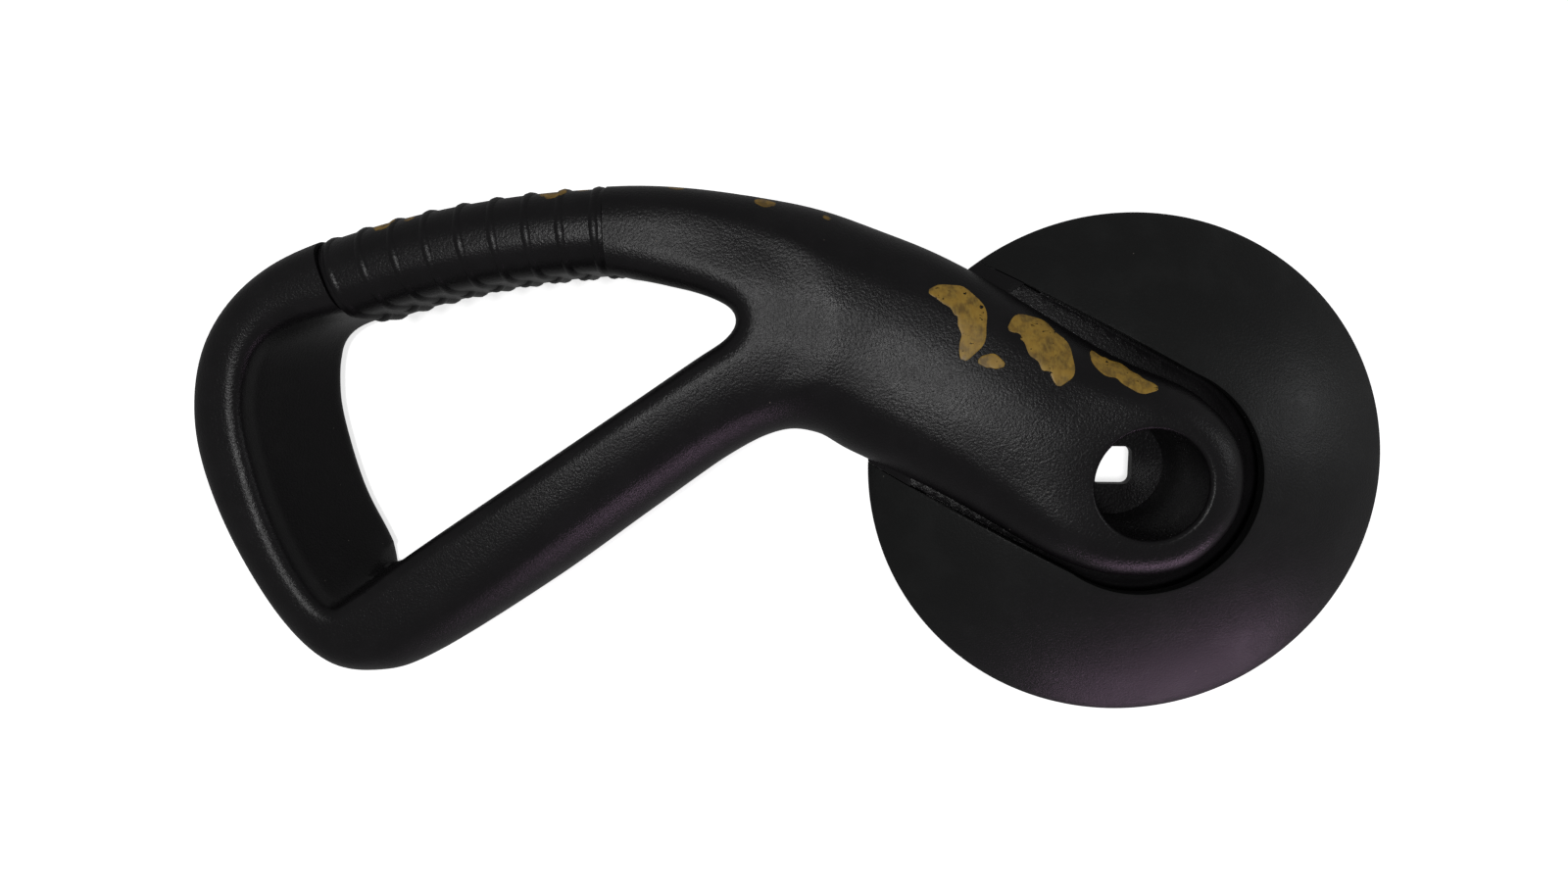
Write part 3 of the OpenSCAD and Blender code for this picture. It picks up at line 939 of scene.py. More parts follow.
class Recipe:
    """Builds one Geometry Nodes tree with named inputs, and turns its result into a plain mesh."""

    def __init__(self, name: str, sizes: dict[str, float | int]) -> None:
        """Starts a tree.

        Args:
            name: the tree's name.
            sizes: the named inputs with their values; whole numbers stay whole.
        """
        self.name = name
        self.sizes = sizes
        self.tree = bpy.data.node_groups.new(name, "GeometryNodeTree")
        self.keys: dict[str, str] = {}
        for label, value in sizes.items():
            kind = "NodeSocketInt" if isinstance(value, int) else "NodeSocketFloat"
            made = self.tree.interface.new_socket(label, in_out="INPUT", socket_type=kind)
            self.keys[label] = made.identifier
        self.tree.interface.new_socket("Geometry", in_out="OUTPUT", socket_type="NodeSocketGeometry")
        self.entry = self.tree.nodes.new("NodeGroupInput")

    def size(self, label: str) -> bpy.types.NodeSocket:
        """Socket of a named input."""
        return self.entry.outputs[label]

    def node(self, kind: str, settings: dict | None = None, inputs: dict | None = None,
             output: object = 0) -> bpy.types.NodeSocket:
        """Adds a node.

        Args:
            kind: the node's type.
            settings: attributes set before any socket.
            inputs: values or sockets for its inputs, by name or number.
            output: the name or number of the output to return.

        Returns:
            The chosen output socket.
        """
        made = self.tree.nodes.new(kind)
        for key, value in (settings or {}).items():
            setattr(made, key, value)
        for key, value in (inputs or {}).items():
            sources = value if isinstance(value, list) else [value]
            for source in sources:
                if isinstance(source, bpy.types.NodeSocket):
                    self.tree.links.new(source, made.inputs[key])
                else:
                    made.inputs[key].default_value = source
        return made.outputs[output]

    def move(self, geometry: object, **inputs: object) -> bpy.types.NodeSocket:
        """Adds a transform.

        Args:
            geometry: what is moved.
            inputs: the translation, rotation or scale, under the node's own labels.

        Returns:
            The moved geometry's socket.
        """
        return self.node("GeometryNodeTransform", None, {"Geometry": geometry, **inputs})

    def circle(self, steps: int, radius: object) -> bpy.types.NodeSocket:
        """Adds a round section.

        Args:
            steps: the number of its points.
            radius: its radius.

        Returns:
            The section's socket.
        """
        return self.node("GeometryNodeCurvePrimitiveCircle", None, {"Resolution": steps, "Radius": radius})

    def maths(self, operation: str, first: object, second: object = 0.0) -> bpy.types.NodeSocket:
        """Adds a Math node.

        Args:
            operation: its operation.
            first: the first operand.
            second: the second operand.

        Returns:
            The result's socket.
        """
        return self.node("ShaderNodeMath", {"operation": operation}, {0: first, 1: second})

    def vector(self, x: object = 0.0, y: object = 0.0, z: object = 0.0) -> bpy.types.NodeSocket:
        """Joins three values into a vector."""
        return self.node("ShaderNodeCombineXYZ", None, {0: x, 1: y, 2: z})

    def bake(self, geometry: bpy.types.NodeSocket, look: object) -> bpy.types.Object:
        """Ends the tree and makes its mesh.

        Args:
            geometry: the finished geometry's socket.
            look: the finish of all its faces.

        Returns:
            A plain mesh object at the origin, named after the tree.
        """
        real = self.node("GeometryNodeRealizeInstances", None, {"Geometry": geometry})
        inputs = {"Geometry": real, "Material": material_of(look)}
        dressed = self.node("GeometryNodeSetMaterial", None, inputs)
        leave = self.tree.nodes.new("NodeGroupOutput")
        self.tree.links.new(dressed, leave.inputs[0])
        piece = solid(self.name, np.zeros((0, 3)), [])
        step = piece.modifiers.new("recipe", "NODES")
        step.node_group = self.tree
        for label, value in self.sizes.items():
            step[self.keys[label]] = value
        return harden(piece)


# ----------------------------------------------------------------------------------------------------------
# Finishes of this ascender
# ----------------------------------------------------------------------------------------------------------

TRACES = (
    (-183.5, 61.2, 32.0, 5.2), (-141.0, 67.5, 31.0, 6.5), (-134.0, 68.4, 30.0, 3.6),
    (-111.5, 69.2, 31.0, 3.6), (-90.0, 66.3, 31.0, 4.6), (-75.0, 63.4, 31.0, 3.4), (-177.0, 63.0, 33.0, 3.0))
MOULDED_BLACK = Moulding("moulded_black", "moulded_black", traces=TRACES)
GRIP_BLACK = Moulding("grip_black", "grip_black", roughness=0.3, grain_depth=0.1, traces=TRACES)
COVER_BLACK = Moulding("cover_black", "cover_black", colour=(0.0095, 0.0098, 0.0098), roughness=0.4,
                       grain_depth=0.1)
HOUSING_BLACK = Moulding("housing_black", "housing_black", colour=(0.012, 0.012, 0.013), roughness=0.5,
                         grain=0.7)
CAM_STEEL = Metal("cam_steel", "cam_steel", (0.47, 0.47, 0.48), 0.36, (1.0, 18.0, 1.0))
LINER_STEEL = Metal("liner_steel", "liner_steel", (0.56, 0.56, 0.57), 0.3, (40.0, 1.0, 1.0), 0.1)
PIN_STEEL = Metal("pin_steel", "pin_steel", (0.55, 0.55, 0.57), 0.24, (1.0, 1.0, 10.0), 0.1)
SCREW_STEEL = Metal("screw_steel", "screw_steel", (0.48, 0.49, 0.52), 0.34, (1.0, 1.0, 3.0), 0.2)
SPRING_STEEL = Metal("spring_steel", "spring_steel", (0.33, 0.33, 0.35), 0.3, (4.0, 4.0, 1.0), 0.1)
PLATE_STEEL = Metal("plate_steel", "plate_steel", (0.52, 0.52, 0.54), 0.34, (60.0, 1.0, 1.0), 0.14)
BUSH_BRONZE = Metal("bush_bronze", "bush_bronze", (0.52, 0.34, 0.16), 0.4, (3.0, 3.0, 1.0), 0.3, 0.16)
ACETAL = Acetal("acetal")
OCHRE_PAINT = BrushPaint("ochre_paint")


# ----------------------------------------------------------------------------------------------------------
# Sub-assemblies
# ----------------------------------------------------------------------------------------------------------


@dataclass
class Dome:
    """Sizes of the domed disc that the cover and the handle's apron share."""

    radius: float = 64.28
    sphere: float = 108.0
    rim: float = 20.0
    thick: float = 3.0
    slot_angle: float = 151.0
    slot_upper: float = 28.0
    slot_lower: float = 30.5
    slot_end: float = 27.7
    gap: float = 0.25
    apron_sphere: float = 250.0
    apron_level: float = 60.0
    apron_floor: float = 20.3

    @property
    def centre(self) -> float:
        """Height of the dome's centre."""
        return self.rim - math.sqrt(self.sphere ** 2 - self.radius ** 2)

    @property
    def apron_centre(self) -> float:
        """Height of the centre of the apron's flatter sphere."""
        return self.height(self.apron_level) - math.sqrt(self.apron_sphere ** 2 - self.apron_level ** 2)

    def height(self, away: float) -> float:
        """Height of the dome at a distance from the axis."""
        return self.centre + math.sqrt(self.sphere ** 2 - away ** 2)

    def under(self, away: float) -> float:
        """Height of the shell's inner face at a distance from the axis."""
        return self.centre + math.sqrt((self.sphere - self.thick) ** 2 - away ** 2)

    def apron_height(self, away: float) -> float:
        """Height of the apron at a distance from the axis."""
        return self.apron_centre + math.sqrt(self.apron_sphere ** 2 - away ** 2)

    def slot(self, grow: float) -> list[Point]:
        """Outline of the slot: round at the axis, with sides that run out under the handle.

        Args:
            grow: how much wider it is than the cover's own slot.

        Returns:
            The outline's points.
        """
        far, end, half = self.radius + 20, self.slot_end + grow, 96
        turns = [math.radians(a) for a in range(-half, half + 1, 3)]
        bow = [(-end * math.cos(a), -end * math.sin(a)) for a in turns]
        flat = [(far, self.slot_lower + grow + 1)] + [(x, -y) for x, y in reversed(bow)]
        flat += [(far, -self.slot_upper - grow)]
        c, s = math.cos(math.radians(self.slot_angle)), math.sin(math.radians(self.slot_angle))
        return [(x * c - y * s, x * s + y * c) for x, y in flat]

    def cap(self, inner: float, steps: int = 28, lip: float = 1.2) -> list[Point]:
        """Profile of the shell from a radius outwards, with a rounded rim.

        Args:
            inner: the inner radius.
            steps: the number of steps over the dome.
            lip: the radius of the rim's rounding.

        Returns:
            The closed profile, as (radius, height).
        """
        land, land_z, lip_r, lip_z = 55.0, 19.6, 61.2, 17.5
        top = [(r, self.height(r)) for r in np.linspace(inner, self.radius - lip * 0.7, steps)]
        slope = math.atan2(self.radius, self.rim - self.centre)
        hub = (self.radius - lip, self.rim - lip * 0.62)
        turns = np.linspace(slope, math.pi / 2, 5)
        rim = [(hub[0] + lip * math.sin(a), hub[1] + lip * math.cos(a)) for a in turns]
        foot = [(self.radius, lip_z + 0.4), (self.radius - 0.4, lip_z), (lip_r, lip_z),
                (lip_r, land_z), (land, land_z)]
        below = [(r, self.under(r)) for r in np.linspace(land, inner, steps)]
        return top + rim + foot + below


@dataclass
class Handle:
    """D-loop handle that runs over a broad neck into the open eye."""

    dome: Dome
    depth: float = 44.0
    drop: float = 6.0
    rise_from: float = 15.0
    rise_to: float = 75.0
    crown: float = 2.4
    crest: float = 3.0
    bore: float = 13.0
    boss: float = 16.0
    boss_low: float = 3.1
    bore_floor: float = 13.0
    rear_bore: float = 10.2
    rear_bore_top: float = 10.0
    pitch: float = 1.05
    outer: tuple[Point, ...] = (
        (11.7, 20.4, 9, 3), (-8, 30, 11, 3), (-40.8, 50.2, 13, 4), (-61.4, 59.4, 14, 6), (-84.6, 66.4, 12, 7),
        (-120, 70.1, 10, 8), (-155, 67.1, 9, 8), (-190.1, 60.1, 9, 8), (-214.6, 50.1, 8, 8),
        (-229.9, 33.7, 8, 8), (-234.8, 12, 8, 8), (-229.9, -11.9, 8, 8), (-218.1, -36.8, 9, 8),
        (-205.7, -51.2, 11, 8), (-192.5, -54.3, 13, 8), (-178.3, -49.9, 15, 8), (-147, -30.4, 17, 8),
        (-120.5, -11.3, 17, 8), (-99.9, 3.4, 16, 8), (-87, 9.7, 15, 7),
        (-77.6, 9.3, 15, 6), (-69, 4.8, 15, 5), (-48.1, -4.4, 13, 4), (-20, -19, 10, 3), (-4, -23.2, 9, 3),
        (11.7, -20.4, 9, 3), (22.1, -8, 9, 3), (22.1, 8, 9, 3))
    loop: tuple[Point, ...] = (
        (-97.2, 38.5, 6, 5, 0), (-101.5, 42.4, 7, 5, 0), (-113.2, 45.9, 8, 5, 0), (-135, 49.3, 8, 5, 0),
        (-165, 46, 8, 5, 0), (-190, 40.6, 8, 5, 0), (-207.6, 36.4, 7, 5, 1.5), (-217, 29, 5, 5, 6),
        (-220.4, 16, 4, 5, 8.2), (-218.8, 2, 4, 5, 8.8), (-214.8, -13, 4, 5, 9), (-209, -26, 4, 5, 9.2),
        (-202, -34.6, 4, 5, 6.5), (-195, -31.5, 5, 5, 2), (-177, -18.7, 5, 5, 0.2), (-132.5, 11.1, 5, 5, 0),
        (-108.5, 27.3, 6, 5, 0), (-99.3, 33.6, 6, 5, 0))
    draft_top: float = 31.0
    grid: float = 0.6

    def __post_init__(self) -> None:
        """Lays out the two distance grids."""
        low, high = (-240.0, -62.0), (36.0, 78.0)
        self.rim = Outline(self.outer, low, high, self.grid)
        self.window = Outline(self.loop, low, high, self.grid)

    def face_height(self, places: np.ndarray, inset: np.ndarray) -> np.ndarray:
        """Height of the front face.

        Args:
            places: rows of places.
            inset: how far each lies inside the outer outline.

        Returns:
            One height for each place.
        """
        c, s = math.cos(math.radians(self.dome.slot_angle)), math.sin(math.radians(self.dome.slot_angle))
        along = places[:, 0] * c + places[:, 1] * s
        level = self.depth - self.drop * ease((along - self.rise_from) / (self.rise_to - self.rise_from))
        fade = ease((along - 8.0) / 22.0) * ease((135.0 - along) / 30.0)
        fall = self.crown * fade * (1 - ease(inset / 23.0))
        return level - fall + self.crest / 4 * ease((along - 24.0) / 30.0)

    def measure(self, places: np.ndarray) -> np.ndarray:
        """Distance from the handle's rounded skin.

        Args:
            places: rows of places.

        Returns:
            One distance for each place, negative inside.
        """
        side, front, rear = self.rim.at(places).T
        gap, gap_front, gap_rear, draft = self.window.at(places).T
        z = places[:, 2]
        inner = -gap - draft * np.clip((self.draft_top - z) / self.draft_top, 0, 1)
        top = z - self.face_height(places, -side)
        blend = self.crest * ease((25.0 - gap) / 10.0) + 0.01
        shell = soft_larger(rounded_edge(side, top, front), rounded_edge(inner, top, gap_front), blend)
        base = np.maximum(rounded_edge(side, -z, rear), rounded_edge(inner, -z, gap_rear))
        return np.maximum(shell, base)

    def build(self, grip: "Grip") -> bpy.types.Object:
        """Builds the handle with its neck, apron, eye and bearing boss.

        Args:
            grip: the grip that fits into it.

        Returns:
            The finished piece.
        """
        points, faces = skin(self.measure, (-235.0, -56.0, -2.0), (27.0, 73.0, 47.0), self.pitch)
        piece = solid("handle_body", points, faces)
        combine(piece, disc("clearance", (0, 0), 62.0, -5.0, self.dome.apron_floor, 192), Join.CUT)
        combine(piece, grip.room(), Join.CUT)
        combine(piece, grip.core(), Join.ADD)
        combine(piece, self.apron(), Join.ADD)
        combine(piece, disc("boss", (0, 0), self.boss, self.boss_low, self.depth - 8, 128), Join.ADD)
        combine(piece, self.bore_cutter(), Join.CUT)
        square = rounded_rectangle(0, 0, 10.0, 10.0, 2.0, 5)
        combine(piece, prism("square", square, -2.0, self.bore_floor + 1), Join.CUT)
        combine(piece, disc("rear_bore", (0, 0), self.rear_bore, -2.0, self.rear_bore_top, 96), Join.CUT)
        groove = [(14.8, 3.5), (17.0, 3.5), (17.0, 4.4), (14.8, 4.4)]
        combine(piece, lathe("groove", groove, 96), Join.CUT)
        smooth(piece, 38.0)
        return finish(piece, MOULDED_BLACK, "lever", "handle")

    def apron(self) -> bpy.types.Object:
        """Low apron round the neck's foot, flush with the dome at its rim, with a flange under the cover.

        Returns:
            The solid.
        """
        dome = self.dome
        level, floor = dome.apron_level, dome.apron_floor
        top = [(r, dome.apron_height(r)) for r in np.linspace(0, level, 24)]
        cap = lathe("apron", [(0, floor)] + top + [(level, floor)])
        combine(cap, lathe("apron_rim", dome.cap(level - 6.0, 6)), Join.ADD)
        combine(cap, prism("apron_side", dome.slot(-dome.gap), 0.0, self.depth), Join.KEEP)
        soften(cap, 0.35, 2, 50.0)
        reach = 50.0
        top = [(r, dome.apron_height(r) - 0.02) for r in np.linspace(0, reach, 16)]
        flange = lathe("flange", [(0, floor)] + top
                       + [(reach, floor)])
        combine(flange, prism("flange_side", dome.slot(9.0), 0.0, self.depth), Join.KEEP)
        return combine(cap, flange, Join.ADD)

    def bore_cutter(self) -> bpy.types.Object:
        """Counterbore with a rounded mouth, as a cutter.

        Returns:
            The solid.
        """
        lip = 1.3
        mouth = [(self.bore + lip - lip * math.cos(a), self.depth - lip + lip * math.sin(a) + 0.02)
                 for a in np.linspace(0, math.pi / 2, 7)]
        high = self.depth + 3
        return lathe("bore", [(0, self.bore_floor), (self.bore, self.bore_floor)] + mouth
                     + [(self.bore + lip, high), (0, high)], 128)


@dataclass
class Grip:
    """Ribbed sleeve on the handle's upper bar: a tube along an arc, with a raised ring at each rib."""

    centre: Point = (-120.8, -182.4)
    outer: float = 252.0
    thick: float = 19.8
    high: float = 36.8
    middle: float = 19.0
    corner: float = 8.8
    start: float = 91.75
    end: float = 108.25
    ribs: int = 9
    rib_high: float = 0.8
    rib_wide: float = 4.4
    core_size: Point = (12.0, 30.0, 5.5)

    @property
    def radius(self) -> float:
        """Radius of the arc along the grip's middle."""
        return self.outer - self.thick / 2

    def bar(self, name: str, section: Sequence[Point], start: float, end: float, steps: int,
            hole: Sequence[Point] | None = None) -> bpy.types.Object:
        """Sweeps a section along the arc.

        Args:
            name: the object's name.
            section: the section as (radius, height).
            start: the first angle, in degrees.
            end: the last angle, in degrees.
            steps: the number of steps.
            hole: a second section, of as many points, that is left out of the first.

        Returns:
            The closed solid.
        """
        loops = [section] + ([hole] if hole else [])
        n = len(section)
        points = []
        for k in range(steps + 1):
            a = math.radians(start + (end - start) * k / steps)
            for part in loops:
                points += [(*circle(self.centre, r, [a])[0], z) for r, z in part]
        width = n * len(loops)
        faces = []
        for k in range(steps):
            for part in range(len(loops)):
                for i in range(n):
                    p, q = part * n + i, part * n + (i + 1) % n
                    faces.append((k * width + p, k * width + q, (k + 1) * width + q, (k + 1) * width + p))
        for base in (0, steps * width):
            if hole:
                faces += [(base + i, base + (i + 1) % n, base + n + (i + 1) % n, base + n + i)
                          for i in range(n)]
            else:
                faces.append(tuple(base + i for i in range(n)))
        return tidy(solid(name, points, faces))

    def room(self) -> bpy.types.Object:
        """Space that the sleeve takes out of the handle's bar, as a cutter.

        Returns:
            The solid.
        """
        inner, outer = self.outer - 40, self.outer + 20
        section = [(inner, -3.0), (outer, -3.0), (outer, 50.0), (inner, 50.0)]
        return self.bar("room", section, 91.7, 108.3, 24)

    def core(self) -> bpy.types.Object:
        """Handle's core inside the sleeve.

        Returns:
            The solid.
        """
        wide, high, corner = self.core_size
        section = rounded_rectangle(self.radius, self.middle, wide, high, corner, 6)
        return self.bar("core", section, 90.9, 109.1, 24)

    def build(self) -> None:
        """Builds the sleeve and its ribs."""
        wide, high, corner = self.core_size
        outside = rounded_rectangle(self.radius, self.middle, self.thick, self.high, self.corner, 10)
        inside = rounded_rectangle(self.radius, self.middle, wide + 0.04, high + 0.04, corner, 10)
        sleeve = self.bar("grip_body", outside, self.start, self.end, 48, inside)
        smooth(soften(sleeve, 0.25, 2, 60.0))
        finish(sleeve, GRIP_BLACK, "lever", "grip_sleeve")
        finish(smooth(self.rings()), GRIP_BLACK, "lever", "grip_sleeve")

    def rings(self) -> bpy.types.Object:
        """Rib rings along the arc, each with a small nub at the parting line.

        Returns:
            The rings as one mesh.
        """
        thick = self.rib_wide / 2
        across = self.thick + 2 * (self.rib_high - thick)
        upright = self.high + self.rib_high - 2 * thick
        margin = math.degrees(thick / self.outer)
        recipe = Recipe("grip_ribs", {
            "Count": self.ribs, "Radius": self.radius * MM, "Start": math.radians(self.start + margin),
            "Sweep": math.radians(self.end - self.start - 2 * margin), "Across": across * MM,
            "Upright": upright * MM, "Corner": self.corner * 0.92 * MM, "Bead": thick * MM,
            "Middle": self.middle * MM,
            "Centre X": self.centre[0] * MM, "Centre Y": self.centre[1] * MM})
        size = recipe.size
        path = recipe.node("GeometryNodeCurvePrimitiveQuadrilateral", None,
                           {"Width": size("Across"), "Height": size("Upright")})
        path = recipe.node("GeometryNodeFilletCurve", {"mode": "POLY"},
                           {"Curve": path, "Count": 10, "Radius": size("Corner")})
        section = recipe.circle(14, size("Bead"))
        ring = recipe.node("GeometryNodeCurveToMesh", None, {"Curve": path, "Profile Curve": section})
        nub = recipe.node("GeometryNodeMeshUVSphere", None,
                          {"Segments": 14, "Rings": 8, "Radius": size("Bead")})
        inner = recipe.maths("MULTIPLY", size("Across"), -0.5)
        nub = recipe.move(nub, Translation=recipe.vector(x=inner), Scale=(1.25, 2.2, 1.15))
        ring = recipe.node("GeometryNodeJoinGeometry", None, {"Geometry": [ring, nub]})
        ring = recipe.move(ring, Rotation=(math.pi / 2, 0.0, 0.0))
        ring = recipe.move(ring, Translation=recipe.vector(size("Radius"), 0.0, size("Middle")))
        dots = recipe.node("GeometryNodePoints", None, {"Count": size("Count")})
        last = recipe.maths("SUBTRACT", size("Count"), 1.0)
        share = recipe.maths("DIVIDE", recipe.node("GeometryNodeInputIndex"), last)
        turn = recipe.maths("ADD", recipe.maths("MULTIPLY", share, size("Sweep")), size("Start"))
        rings = recipe.node("GeometryNodeInstanceOnPoints", None, {
            "Points": dots, "Instance": ring, "Rotation": recipe.vector(z=turn)})
        placed = recipe.move(rings, Translation=recipe.vector(size("Centre X"), size("Centre Y")))
        return recipe.bake(placed, GRIP_BLACK)


@dataclass
class Cover:
    """Domed disc cover with a slot for the neck."""

    dome: Dome

    def build(self) -> bpy.types.Object:
        """Builds the cover.

        Returns:
            The finished piece.
        """
        shell = lathe("front_cover_shell", self.dome.cap(self.dome.slot_end - 2), 256)
        combine(shell, prism("slot", self.dome.slot(0.0), 0.0, 60.0), Join.CUT)
        soften(shell, 0.55, 3, 40.0)
        smooth(shell, 30.0)
        return finish(shell, COVER_BLACK, "lever", "front_cover")


@dataclass
class Stroke:
    """One brush stroke: points along its middle as (x, y, half width)."""

    name: str
    path: tuple[Point, ...]
    seed: int


@dataclass
class Marks:
    """Hand-brushed dabs on the neck that mean nothing: a bow, a dab, a blot and a wave."""

    thick: float = 0.09
    across: int = 16
    steps: int = 22
    strokes: tuple[Stroke, ...] = (
        Stroke("paint_bow", ((-51.5, 44.5, 1.8), (-46.5, 43.6, 3.0), (-42.2, 40.5, 3.8), (-41.2, 34.5, 3.4),
                             (-43.6, 28.4, 2.6)), 3),
        Stroke("paint_dab", ((-40.2, 28.2, 1.0), (-37.2, 28.4, 1.8), (-34.0, 27.4, 1.1)), 4),
        Stroke("paint_blot", ((-33.2, 35.8, 1.8), (-29.2, 36.4, 3.4), (-24.6, 32.4, 4.8), (-21.4, 27.2, 4.2),
                              (-21.8, 22.6, 2.0)), 8),
        Stroke("paint_wave", ((-13.6, 30.6, 1.4), (-11.4, 27.6, 2.1), (-7.4, 25.9, 2.1), (-3.6, 23.2, 2.2),
                              (1.0, 22.2, 1.5)), 5))

    def build(self, base: bpy.types.Object) -> None:
        """Lays every stroke on a surface.

        Args:
            base: the piece that is painted.
        """
        shape = bmesh.new()
        shape.from_mesh(base.data)
        tree = BVHTree.FromBMesh(shape)
        shape.free()
        for stroke in self.strokes:
            finish(smooth(self.lay(stroke, tree), 60.0), OCHRE_PAINT, "lever")

    def lay(self, stroke: Stroke, tree: BVHTree) -> bpy.types.Object:
        """Makes a stroke's thin solid.

        Args:
            stroke: the stroke.
            tree: the surface that it lies on.

        Returns:
            The closed solid.
        """
        rows = self.route(np.array(stroke.path, float))
        n = self.across + 1
        top = []
        for k, (x, y, half, tx, ty) in enumerate(rows):
            for i in range(n):
                side = 2 * i / self.across - 1
                ragged = 1 + 0.07 * math.sin(0.3 * k + stroke.seed + 2.4 * (side > 0))
                bow = max(0.0, 1 - abs(2 * k / (len(rows) - 1) - 1) ** 3.5) ** 0.5
                away = side * half * ragged * max(0.08, bow)
                above = Vector(((x - ty * away) * MM, (y + tx * away) * MM, 0.08))
                hit = tree.ray_cast(above, Vector((0, 0, -1)))[0]
                edge = 1 - min(1.0, 4.0 * min(1 - abs(side), 0.12 * k, 0.12 * (len(rows) - 1 - k)))
                top.append((hit.x / MM, hit.y / MM, hit.z / MM + self.thick * (1 - 1.6 * edge)))
        low = [(x, y, z - 0.22) for x, y, z in top]
        rest = len(top)
        faces = []
        for k in range(len(rows) - 1):
            for i in range(self.across):
                a = k * n + i
                faces.append((a, a + n, a + n + 1, a + 1))
                faces.append((a + rest, a + 1 + rest, a + n + 1 + rest, a + n + rest))
        edge = [i for i in range(n)] + [k * n + n - 1 for k in range(1, len(rows))]
        edge += [(len(rows) - 1) * n + i for i in range(n - 2, -1, -1)]
        edge += [k * n for k in range(len(rows) - 2, 0, -1)]
        faces += [(edge[i], edge[(i + 1) % len(edge)], edge[(i + 1) % len(edge)] + rest, edge[i] + rest)
                  for i in range(len(edge))]
        return tidy(solid(stroke.name, top + low, faces))

    def route(self, points: np.ndarray) -> list[Point]:
        """Even steps along a stroke's middle.

        Args:
            points: the stroke's points.

        Returns:
            Rows of x, y, half width and the unit direction.
        """
        ends = np.vstack([2 * points[0] - points[1], points, 2 * points[-1] - points[-2]])
        rows = []
        for i in range(1, len(ends) - 2):
            a, b, c, d = ends[i - 1:i + 3]
            for k in range(self.steps):
                t = k / self.steps
                rows.append(0.5 * (2 * b + (c - a) * t + (2 * a - 5 * b + 4 * c - d) * t ** 2
                                   + (3 * b - a - 3 * c + d) * t ** 3))
        rows.append(points[-1])
        rows = np.array(rows)
        way = np.gradient(rows[:, :2], axis=0)
        way /= np.linalg.norm(way, axis=1)[:, None]
        return [(*row, *step) for row, step in zip(rows, way)]


@dataclass
class Housing:
    """Rear housing: a shallow drum with the rope channel, the bearing collar and the seats of its pins."""

    wall: float = 60.0
    wall_in: float = 56.5
    wall_top: float = 19.0
    foot: float = 57.3
    foot_edge: float = 4.0
    floor_low: float = 3.0
    floor_top: float = 6.0
    shoulder: float = 17.0
    anvil: float = 47.3
    channel: float = 14.3
    channel_top: float = 16.5
    cut: float = 17.0
    collar: float = 22.0
    collar_top: float = 8.0
    bearing: float = 18.05
    ring_room: float = 20.2
    ring_room_top: float = 5.8
    roller_place: Point = (41.0, -29.5)
    pivot: Point = (46.0, -27.0)
    post: Point = (-36.7, 31.15)
    post_top: float = 18.8
    liner: Point = (27.0, 2.5)
    stop_ring: float = 31.0
    stop_radius: float = 2.5
    stop_angles: tuple[float, float] = (112.09, 39.91)

    def build(self) -> bpy.types.Object:
        """Builds the housing.

        Returns:
            The finished piece.
        """
        drum = lathe("rear_housing_shell", self.profile(), 224)
        block = disc("block", (0, 0), self.wall_in + 1, self.floor_low, self.channel_top, 160)
        combine(block, self.box("block_side", (-70, -70), (70, -self.anvil), 0, self.wall_top), Join.KEEP)
        combine(drum, block, Join.ADD)
        combine(drum, disc("collar", (0, 0), self.collar, self.floor_low, self.collar_top, 128), Join.ADD)
        combine(drum, disc("post", self.post, 2.5, self.floor_low, self.post_top), Join.ADD)
        x, y = self.roller_place
        for side in (-1, 1):
            combine(drum, disc("seat", (side * x, y), 3.2, self.floor_low, self.floor_top + 0.6), Join.ADD)
        combine(drum, self.box("plate_room", (-70, -70), (70, self.cut), -2, self.floor_low), Join.CUT)
        combine(drum, self.box("channel", (-70, -self.anvil), (70, self.channel - self.anvil), -2,
                               self.channel_top), Join.CUT)
        half, thick = self.liner
        combine(drum, self.box("liner_room", (-half, -self.anvil - thick), (half, -self.anvil + 1), -2,
                               self.channel_top), Join.CUT)
        combine(drum, disc("bearing", (0, 0), self.bearing, -2, 20, 128), Join.CUT)
        combine(drum, disc("ring_room", (0, 0), self.ring_room, -2, self.ring_room_top, 128), Join.CUT)
        groove = [(57.2, 18.2), (59.2, 18.2), (59.2, 21.0), (57.2, 21.0)]
        combine(drum, lathe("groove", groove, 192), Join.CUT)
        for side in (-1, 1):
            combine(drum, disc("pin_hole", (side * x, y), 2.0, 4.5, 9.0), Join.CUT)
        for angle in self.stop_angles:
            place = circle((0, 0), self.stop_ring, [math.radians(angle)])[0]
            combine(drum, disc("stop_hole", place, self.stop_radius, 4.0, 9.0), Join.CUT)
        combine(drum, disc("pivot_hole", self.pivot, 2.5, -2, 20), Join.CUT)
        soften(drum, 0.3, 2, 50.0)
        smooth(drum)
        return finish(drum, HOUSING_BLACK, "housing", "rear_housing")

    def profile(self) -> list[Point]:
        """Profile of the drum, as (radius, height)."""
        r, e = self.foot, self.foot_edge
        foot = [(r - e + e * math.sin(a), e - e * math.cos(a)) for a in np.linspace(0, math.pi / 2, 10)]
        wall = [(self.wall, self.shoulder), (self.wall, self.wall_top), (self.wall_in, self.wall_top),
                (self.wall_in, self.floor_top)]
        return [(0, 0)] + foot + wall + [(0, self.floor_top)]

    @staticmethod
    def box(name: str, low: Point, high: Point, bottom: float, top: float) -> bpy.types.Object:
        """Makes a block, as a cutter.

        Args:
            name: the object's name.
            low: its lowest corner, as (x, y).
            high: its highest corner, as (x, y).
            bottom: the height of its underside.
            top: the height of its top.

        Returns:
            The closed solid.
        """
        return prism(name, [low, (high[0], low[1]), high, (low[0], high[1])], bottom, top)


